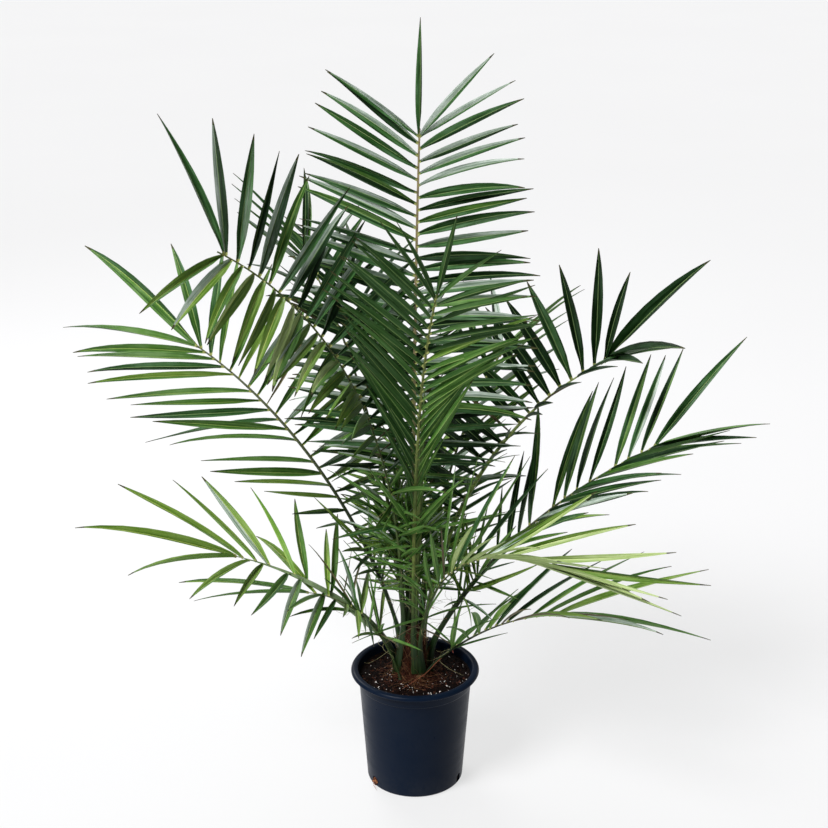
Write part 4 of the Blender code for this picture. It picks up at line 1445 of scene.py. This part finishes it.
@dataclass
class FrondBuilder:
    """Makes one frond's stalk and its leaflets as two pieces that stand for its solid."""

    wardrobe: Wardrobe
    trunk: Trunk
    stalk_sides: int = 12
    stalk_rings_a_metre: float = 110.0
    keel: float = 0.0055
    stations: tuple = (0.004, 0.014, 0.026, 0.05, 0.11, 0.20, 0.31, 0.43, 0.56, 0.70, 0.83, 0.93, 0.985)
    collar_rows: int = 2
    point_rows: int = 1
    limpness: float = 0.55
    stray_basal: float = 3.2
    stray_across: float = 0.034
    stray_out: float = 0.026
    droop: float = 0.035
    basal_breadth: float = 0.78
    dry_breadth: float = 0.38
    swelling_reach: float = 0.0045
    swelling: float = 0.0015
    swelling_keel: float = 0.0014
    fold_places: tuple = (0.0, 0.06, 0.2, 0.6, 1.0)
    fold_angles: tuple = (30.0, 52.0, 38.0, 30.0, 18.0)
    bow: float = 0.07
    stout_reach: float = 0.34
    left_end: float = 0.33
    no_pale_before: float = 0.4
    dim_under_before: float = 0.35
    shift_shares: tuple = (0.18, 0.66, 0.16)

    def stalk(self, midrib: Midrib) -> Piece:
        """The sheath, petiole and rachis: a flattened round section carried along the line.

        The section is (half cos a, high sin a), lower and flatter above than below.
        The foot swings down to the trunk's skin over the join's length, and broadens there.
        """
        frond = midrib.frond
        count = int(frond.length * self.stalk_rings_a_metre)
        share = np.linspace(0, 1, count)
        fine = midrib.walk(count * 2)
        line = np.stack([np.interp(share, np.linspace(0, 1, len(fine)), fine[:, k]) for k in range(3)], -1)
        _, aside, above = frond.frame(share)
        heading = math.radians(frond.heading)
        low = max((frond.foot_height - self.trunk.foot - 0.034) / self.trunk.height, 0.012)
        turned_by = math.radians(frond.trim.foot_turn)
        hug = self.trunk.skin(np.array(low), np.array(heading + turned_by), -0.001)
        join = (0.055 + 0.03 * abs(turned_by)) / frond.length
        blend = 1 - smooth(share / join)
        shoulder = frond.foot_height + 0.4 * (frond.foot_height - self.trunk.foot)
        start = hug + UP * (share / join)[:, None] * (shoulder - hug[2])
        pulled = line + (start - line) * (blend ** 1.5)[:, None]
        tangent = unit(np.gradient(pulled, axis=0))
        aside = unit(aside - tangent * (aside * tangent).sum(-1, keepdims=True))
        above = np.cross(aside, tangent)
        stout = 1 - smooth(share * frond.length / self.stout_reach)
        half = midrib.width(share) / 2 * (1 + 0.30 * blend + 0.80 * frond.trim.foot_gain * stout)
        gain = (frond.trim.stalk_gain - 1) * smooth((share - 0.08) / 0.2)
        half *= 1 + gain * (1 - smooth((share - 0.6) / 0.4))
        high = half * midrib.thickness_share * (1 - 0.35 * blend)
        turns = np.arange(self.stalk_sides) * 2 * np.pi / self.stalk_sides
        x = np.cos(turns)
        y = np.where(np.sin(turns) > 0, 0.72 * np.sin(turns) - 0.22 * np.sin(turns) ** 3, np.sin(turns))
        rings = (pulled[:, None] + aside[:, None] * (half[:, None] * -x)[..., None]
                 + above[:, None] * (high[:, None] * y)[..., None])
        rings = rings[:, ::-1] if self.turns_inward(rings, tangent) else rings
        surface = closed_grid(rings[None]).wearing(self.wardrobe.number["stalk", frond.stalk])
        return surface.to_object(frond.name.replace("frond", "stalk"), self.wardrobe.materials, 60)

    @staticmethod
    def turns_inward(rings: Array, tangent: Array) -> bool:
        """Whether the rings run clockwise about the line."""
        spokes = rings[1] - rings[1].mean(axis=0)
        return float((np.cross(spokes[0], spokes[1]) * tangent[1]).sum()) < 0

    def leaflets(self, frond: Frond, fitted: list[Leaflet], seed: int) -> Piece:
        """All leaflets of a frond at once, as closed folded blades on a grid of stations and section.

        The centre line is root + unit(along - up sag limpness s) length s, with a drift that grows
        as s^2 and a droop that grows as s^5. The section is a shallow V with its fold below: from
        the fold, each half rises by the fold angle and bows a little, and a thin keel closes it
        underneath. The width goes as s^0.6 (1 - s)^1.05, and a small swelling joins the blade to
        the stalk.
        """
        chance = np.random.default_rng(1000 + seed)
        n, trim = len(fitted), frond.trim
        s = np.array(self.stations)
        root, face = each(fitted, "root")[:, None], each(fitted, "face")[:, None]
        right = (each(fitted, "side") > 0).astype(int)
        place = each(fitted, "share")
        blade = ((place - frond.petiole_share) / (1 - frond.petiole_share)).clip(0, 1)
        along = self.splayed(frond, fitted, right, blade)[:, None]
        gain = np.array(trim.size)[right] + np.array(trim.end_gain)[right] * self.endmost(frond, blade)
        length = (each(fitted, "length") * gain)[:, None, None]
        t = s[None, :, None]
        basal = (place < frond.petiole_share)[:, None, None]
        stray = np.where(basal, self.stray_basal, trim.stray) * chance.normal(0, 1, (2, n, 1, 1))
        aside = np.cross(along, face) * stray[0] * self.stray_across
        drift = (aside + face * stray[1] * self.stray_out) * t ** 2
        sunk = chance.uniform(-0.3, 1.0, (n, 1, 1)).clip(0)
        droop = UP * sunk * self.droop * min(trim.stray, 2.0) * t ** 5
        centre = root + (unit(along - UP * frond.sag * self.limpness * t) * t + drift - droop) * length
        tangent = unit(np.gradient(centre, s, axis=1))
        twist = np.radians(chance.normal(0, 14, (n, 1, 1)) + chance.normal(0, 20, (n, 1, 1)) * t ** 1.3)
        twist = twist * min(trim.stray, 1.8)
        upright = unit(face - tangent * (face * tangent).sum(-1, keepdims=True))
        across = np.cross(tangent, upright)
        across, upright = (across * np.cos(twist) + upright * np.sin(twist),
                           upright * np.cos(twist) - across * np.sin(twist))
        shape = s ** 0.6 * (1 - s) ** 1.05
        long = length[..., 0]
        swelling = np.exp(-(s * long / self.swelling_reach) ** 2)
        dry = (chance.uniform(size=n) < trim.dry) & (blade < 0.85)
        low = np.where(place < frond.petiole_share, self.basal_breadth, 0.66 + 0.34 * smooth(blade / 0.2))
        slim = (low * np.array(trim.slim)[right])[:, None]
        breadth = trim.breadth * chance.uniform(0.86, 1.10, (n, 1)) * slim
        breadth = np.where(dry[:, None], self.dry_breadth, 1.0) * breadth
        half = long * breadth / 2 * (shape / shape.max())[None] + 0.0003 + self.swelling * swelling
        opening = np.radians(np.interp(s, self.fold_places, self.fold_angles))[None]
        opening = opening * chance.uniform(0.8, 1.25, (n, 1))
        keel = np.maximum(long * self.keel * (1 - 0.7 * s)[None], 0.0006) + self.swelling_keel * swelling
        run, rise = half * np.cos(opening), half * np.sin(opening)
        middle = rise / 2 + half * self.bow
        none = np.zeros_like(run)
        columns = ((none, none), (run / 2, middle), (run, rise), (none, -keel),
                   (-run, rise), (-run / 2, middle))
        rings = [centre + across * x[..., None] + upright * y[..., None] for x, y in columns]
        surface = closed_grid(np.stack(rings, axis=2), u=np.array([0.5, 0.75, 1.0, 0.5, 0.0, 0.25, 0.5]), v=s)
        surface.finish = self.dealt(frond, fitted, dry, chance)
        return surface.to_object(frond.name.replace("frond", "leaflets"), self.wardrobe.materials, 35)

    @staticmethod
    def endmost(frond: Frond, blade: Array) -> Array:
        """One at the tip and small two pairs before it: the place to twice the count of pairs."""
        return blade ** (2 * frond.length * (1 - frond.petiole_share) / frond.spacing)

    def splayed(self, frond: Frond, fitted: list[Leaflet], right: Array, blade: Array) -> Array:
        """The leaflets' directions, each turned towards the tip by its side's splay.

        A direction d turned by a towards the tangent's part across it, n, is d cos a + n sin a.
        """
        trim = frond.trim
        splays = (trim.foot_splay, trim.tip_splay, trim.end_splay)
        foot, tip, end = (np.array(pair)[right] for pair in splays)
        turn = foot + (tip - foot) * blade + end * self.endmost(frond, blade)
        place, along = each(fitted, "share"), each(fitted, "along")
        on_blade = (each(fitted, "side") != 0) & (place >= frond.petiole_share)
        turn = np.radians(turn * on_blade)[:, None]
        tangent, _, _ = frond.frame(place)
        toward = unit(tangent - along * (tangent * along).sum(-1, keepdims=True))
        return along * np.cos(turn) + toward * np.sin(turn)

    def dealt(self, frond: Frond, fitted: list[Leaflet], dry: Array, chance: Chance) -> Array:
        """The finish of every face: a shade for each half of a leaflet, its underside, collar and point.

        The end's shade falls on the right side first, and on the left only in its last third.
        Leaflets down the petiole are mid or fresh green, and none near the blade's foot is pale.
        Across the fold, the tipward half is often a step paler and the footward half a step darker,
        as painted light and painted shade, and some tipward halves wear a painted sheen.

        Args:
            frond: the frond, with the shades of its two sides and of its end.
            fitted: its leaflets.
            dry: which of them have withered.
            chance: where the random shifts come from.

        Returns:
            Finish numbers, leaflet by leaflet, in the order of the grid's faces.
        """
        order = [Shade.DARK, Shade.DEEP, Shade.MID, Shade.FRESH, Shade.PALE]
        number = self.wardrobe.number
        n = len(fitted)
        left, place = each(fitted, "side") < 0, each(fitted, "share")
        blade = (place - frond.petiole_share) / (1 - frond.petiole_share)
        base = np.where(left, order.index(frond.left), order.index(frond.right))
        ends = place > 1 - frond.end_share * np.where(left, self.left_end, 1.0)
        base = np.where(ends, order.index(frond.end), base)
        base = np.where(place < frond.petiole_share, chance.choice([2, 3], n, p=[0.6, 0.4]), base)
        palest = np.where(blade < self.no_pale_before, 3, np.minimum(base + 1, 4))
        base = (base + chance.choice([-1, 0, 1], n, p=self.shift_shares)).clip(0, palest)
        tops = np.array([number["top", key] for key in order])
        unders = np.array([number["under", key] for key in order])
        # Painted shade: the footward half of the fold is often dealt a step darker.
        footward_shaded = tops[(base - chance.choice([0, 1], n, p=[0.72, 0.28])).clip(0, 4)]
        # Painted sheen: some tipward halves wear a whitish reflection painted into the colour.
        ash = chance.uniform(size=n) < frond.ash * np.where(left, frond.trim.painted_sheen_left, 1.0)
        # Painted light: the tipward half of the fold is often dealt a step paler.
        tipward_lit = tops[(base + chance.choice([0, 1], n, p=[0.66, 0.34])).clip(0, palest)]
        tipward_lit = np.where(ash, number["top", Shade.ASH], tipward_lit)
        rows = len(self.stations)
        row, column = (part.ravel() for part in np.mgrid[0:rows - 1, 0:6])
        half = np.where((column < 2)[None] == left[:, None], tipward_lit[:, None], footward_shaded[:, None])
        is_under = (column == 2) | (column == 3)
        under = unders[np.where(blade < self.dim_under_before, base.clip(0, 2), base)]
        finish = np.where(is_under[None], under[:, None], half)
        withered = np.where(is_under, number["under", Shade.DRY], number["top", Shade.DRY])
        finish = np.where(dry[:, None], withered[None], finish)
        finish[:, row < self.collar_rows] = number["collar", None]
        finish[:, row >= rows - 1 - self.point_rows] = number["point", None]
        low = np.full((n, 6), number["collar", None])
        high = np.full((n, 6), number["point", None])
        return np.concatenate([finish, low, high], axis=1).ravel()


@dataclass
class Crown:
    """All fronds, the spear in the middle and the spines on the petioles."""

    trunk: Trunk
    wardrobe: Wardrobe
    spear_length: float = 0.46
    spear_radius: float = 0.0065
    spear_lean: tuple = (0.018, -0.02)
    spear_taper: tuple = ((0.0, 0.3, 0.7, 0.97, 1.0), (0.8, 1.0, 0.75, 0.2, 0.06))
    spear_gap: float = 0.0003
    spine_pairs: int = 4
    spine_radius: float = 0.0009
    thread_count: int = 78
    thread_radius: float = 0.00042
    scrap_size: tuple = (0.0060, 0.0013, 0.0006)
    furled: StalkFinish = StalkFinish(
        "furled leaf", (0.10, 0.17, 0.04), (0.13, 0.22, 0.05), (0.08, 0.17, 0.04), (0.34, 0.34, 0.12))
    straw_thread: FibreFinish = FibreFinish("straw thread", (0.38, 0.36, 0.19), (0.20, 0.17, 0.09), 0.6)
    green_thread: FibreFinish = FibreFinish("green thread", (0.11, 0.19, 0.06), (0.06, 0.11, 0.03), 0.5)
    red_scrap: FibreFinish = FibreFinish("red scrap", (0.42, 0.13, 0.09), (0.20, 0.05, 0.04), 0.7)

    def build(self, effects: Effects) -> list[Piece]:
        """Places every leaflet clear of the other fronds and builds the pieces."""
        rule = LeafletRule()
        clearances = Clearances(rule)
        for name in ("pot", "potting_mix", "trunk", "spear"):
            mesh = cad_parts[name].data
            points = np.array([vertex.co for vertex in mesh.vertices])
            clearances.add(None, (points, [tuple(face.vertices) for face in mesh.polygons]))
        midribs = [Midrib(frond, self.trunk) for frond in FRONDS]
        for midrib in midribs:
            clearances.add(midrib.frond.name, midrib.solid(rule.margin))
        builder = FrondBuilder(self.wardrobe, self.trunk)
        pieces = []
        for seed, midrib in enumerate(midribs):
            frond = midrib.frond
            fitted = []
            whole = rule.thinned(frond, rule.deal(frond, seed))
            for leaflet in whole + rule.deal_basal(frond, seed) + rule.deal_extra(frond):
                placed = clearances.fitted(midrib, leaflet)
                if placed is not None:
                    clearances.add(frond.name, rule.solid(frond, placed, 0.0))
                    fitted.append(placed)
            for piece in (builder.stalk(midrib), builder.leaflets(frond, fitted, seed)):
                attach(piece, "root")
                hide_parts(frond.name)
                pieces.append(piece)
        pieces += [self.build_spear(effects), self.build_spines(midribs)]
        return pieces + [self.build_threads(effects, midribs)]

    def build_spear(self, effects: Effects) -> Piece:
        """The furled leaf: a pleated taper whose radius ripples round it and twists upwards."""
        share, turn = np.meshgrid(np.linspace(0, 1, 60), np.arange(28) * 2 * np.pi / 28, indexing="ij")
        full = np.interp(share, *self.spear_taper)
        pleats = 1 + 0.11 * np.cos(7 * turn + 5 * share) + 0.05 * np.cos(3 * turn - 4 * share)
        foot = self.trunk.axis(1.0) + UP * self.spear_gap
        lean = np.array([*self.spear_lean, self.spear_length])
        grid = foot + share[..., None] * lean + around(self.spear_radius * full * pleats, turn)
        spear = closed_grid(grid[None]).to_object("furled_spear", [self.furled.material(effects)], 50)
        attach(spear, "root")
        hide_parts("spear")
        return spear

    def build_spines(self, midribs: list[Midrib]) -> Piece:
        """Short stiff spines in pairs on each petiole, longer towards the blade."""
        chance = np.random.default_rng(71)
        paths, radii, finish = [], [], []
        t = np.linspace(0, 1, 6)[:, None]
        for midrib in midribs:
            frond = midrib.frond
            for pair in range(self.spine_pairs):
                place = 0.42 + 0.5 * pair / self.spine_pairs + chance.uniform(-0.03, 0.03)
                share = frond.petiole_share * place
                tangent, aside, above = frond.frame(share)
                for side in (-1, 1):
                    way = unit(aside * side * chance.uniform(0.6, 1.0) + tangent * chance.uniform(0.8, 1.6)
                               + above * chance.uniform(0.0, 0.5))
                    long = 0.014 + 0.016 * pair / self.spine_pairs + chance.uniform(0, 0.008)
                    root = midrib.point(share) + aside * side * midrib.width(share) * 0.3
                    paths.append(root + way * long * t + above * 0.08 * long * t ** 2)
                    radii.append(self.spine_radius * (1 - 0.92 * t[:, 0]))
                    finish.append(self.wardrobe.number["stalk", frond.stalk])
        surface = tubes(np.array(paths), np.array(radii), 6)
        surface.finish = np.repeat(finish, len(surface.faces) // len(finish))
        spines = surface.to_object("petiole_spines", self.wardrobe.materials)
        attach(spines, "root")
        return spines

    def build_threads(self, effects: Effects, midribs: list[Midrib]) -> Piece:
        """Dry threads that hang from the petioles, with small reddish scraps caught in them.

        A thread is root + reach t, with a wave across it and a sag that grows as t (1 - t).
        """
        chance = np.random.default_rng(81)
        n = self.thread_count
        pick = chance.integers(0, len(midribs), n)
        share = chance.uniform(0.35, 1.1, n)
        places = [midribs[k].point(part * midribs[k].frond.petiole_share) for k, part in zip(pick, share)]
        root = np.stack(places)[:, None]
        t = np.linspace(0, 1, 14)[None, :, None]
        turn = chance.uniform(0, 2 * np.pi, (n, 1, 1))
        way = np.concatenate([np.cos(turn), np.sin(turn), chance.uniform(-0.6, 0.7, (n, 1, 1))], axis=2)
        across = np.cross(way, UP)
        reach = chance.uniform(0.03, 0.09, (n, 1, 1))
        wave = across * 0.10 * np.sin(2 * np.pi * t * chance.uniform(0.5, 1.4, (n, 1, 1)))
        sag = UP * chance.uniform(-0.2, 0.8, (n, 1, 1)) * t * (1 - t)
        radii = np.full((n, 14), self.thread_radius) * (1 - 0.5 * t[..., 0])
        threads = tubes(root + reach * (way * t + wave - sag), radii, 4)
        threads = threads.sharing(n, [0, 1], [0.65, 0.35], chance)
        scrap_count = n // 6
        size = chance.uniform(0.5, 1.0, (scrap_count, 3)) * np.array(self.scrap_size)
        caught = root[:scrap_count, 0] + chance.normal(0, 0.006, (scrap_count, 3))
        whole = Surface.joined([threads, lumps(caught, size, 82).wearing(2)])
        finishes = (self.straw_thread, self.green_thread, self.red_scrap)
        threads = whole.to_object("dry_threads", dressed(finishes, effects))
        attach(threads, "root")
        return threads


# ---- studio

@dataclass
class Studio:
    """Pale floor, soft lights and the camera."""

    lens: float = 70.0
    sensor: float = 36.0
    camera_place: tuple = (-0.002, -2.608, 1.693)
    camera_tilt: float = 69.5
    floor_radius: float = 40.0
    floor_colour: Colour = (0.19, 0.19, 0.195)
    floor_glow: float = 0.655
    surround_front: float = 0.07
    surround_rear: float = 0.40
    backdrop: float = 0.92
    sun_energy: float = 4.0
    sun_angle: float = 24.0
    sun_turn: tuple = (math.radians(26), math.radians(-32), 0.0)
    rear_power: float = 60.0
    rear_size: float = 1.6
    rear_place: tuple = (-1.2, 2.4, 2.6)
    rear_aim: tuple = (0.0, 0.0, 0.8)

    def build(self) -> None:
        """Lays the floor, hangs the lights and sets the camera."""
        self.lay_floor()
        self.light()
        self.set_camera()
        bpy.context.scene.view_settings.view_transform = "Standard"

    def lay_floor(self) -> None:
        """A wide plain disc just under the pot."""
        under, top, reach = -0.02, -0.0005, self.floor_radius
        profile = np.array([(0.0, under), (reach, under), (reach, top), (0.0, top)])
        material, tree, shader = started("studio floor")
        place = tree.node("TexCoord").outputs["Object"]
        drift = tree.ramp(tree.noise(place, 0.8, 2.0), 0.3, 0.7)
        dim = tuple(0.97 * part for part in self.floor_colour)
        tree.feed(shader, Base_Color=tree.mix(drift, self.floor_colour, dim), Roughness=0.7,
                  Emission_Color=WHITE, Emission_Strength=self.floor_glow)
        floor = turned(profile, 96).to_object("studio_floor", [material])

    @staticmethod
    def placed(name: str, data: bpy.types.ID, place: tuple, turn: tuple) -> Piece:
        """A light or camera at its place and turn."""
        item = linked(name, data)
        item.location, item.rotation_euler = place, turn
        return item

    def softbox(self) -> None:
        """A square soft light behind the plant that faces the crown."""
        data = bpy.data.lights.new("rear_softbox", "AREA")
        data.shape = "SQUARE"
        data.size = self.rear_size
        data.energy = self.rear_power
        away = np.array(self.rear_place) - np.array(self.rear_aim)
        yaw = math.atan2(away[0], -away[1])
        tilt = math.atan2(math.hypot(away[0], away[1]), away[2])
        self.placed("rear_softbox", data, self.rear_place, (tilt, 0.0, yaw))

    def light(self) -> None:
        """A pale surround, dimmer at the front, a broad sun from the upper left and a soft light behind."""
        world = bpy.data.worlds.new("studio")
        world.use_nodes = True
        tree = Tree(world.node_tree)
        back = world.node_tree.nodes["Background"]
        towards_rear = tree.ramp(tree.parts("Generated")[1], -0.7, 0.3)
        gain = self.surround_rear - self.surround_front
        rear = tree.math("MULTIPLY_ADD", towards_rear, gain, self.surround_front)
        seen = tree.node("LightPath").outputs["Is Camera Ray"]
        strength = tree.math("MAXIMUM", rear, tree.times(seen, self.backdrop))
        tree.feed(back, Strength=strength, Color=WHITE)
        bpy.context.scene.world = world
        data = bpy.data.lights.new("broad_sun", "SUN")
        data.energy = self.sun_energy
        data.angle = math.radians(self.sun_angle)
        self.placed("broad_sun", data, (0.0, 0.0, 0.0), self.sun_turn)
        self.softbox()

    def set_camera(self) -> None:
        """A long lens from above the front, looking down at the crown."""
        data = bpy.data.cameras.new("camera")
        data.lens = self.lens
        data.sensor_width = self.sensor
        data.clip_end = 200
        turn = (math.radians(self.camera_tilt), 0.0, 0.0)
        bpy.context.scene.camera = self.placed("camera", data, self.camera_place, turn)


def report(pieces: list[Piece]) -> None:
    """Logs each piece with its count of triangles."""
    for piece in pieces:
        piece.data.calc_loop_triangles()
        log.info("%s: %d triangles", piece.name, len(piece.data.loop_triangles))


def main() -> None:
    """Builds the pot, the mix, the trunk, the crown and the studio."""
    logging.basicConfig(level=logging.INFO, format="%(message)s")
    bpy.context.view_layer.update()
    effects = Effects()
    pot = NurseryPot()
    trunk = Trunk()
    report([pot.build(effects)])
    report(PottingMix(pot).build(effects))
    report(trunk.build(effects))
    report(Crown(trunk, Wardrobe(effects)).build(effects))
    Studio().build()


if __name__ == "__main__":
    main()
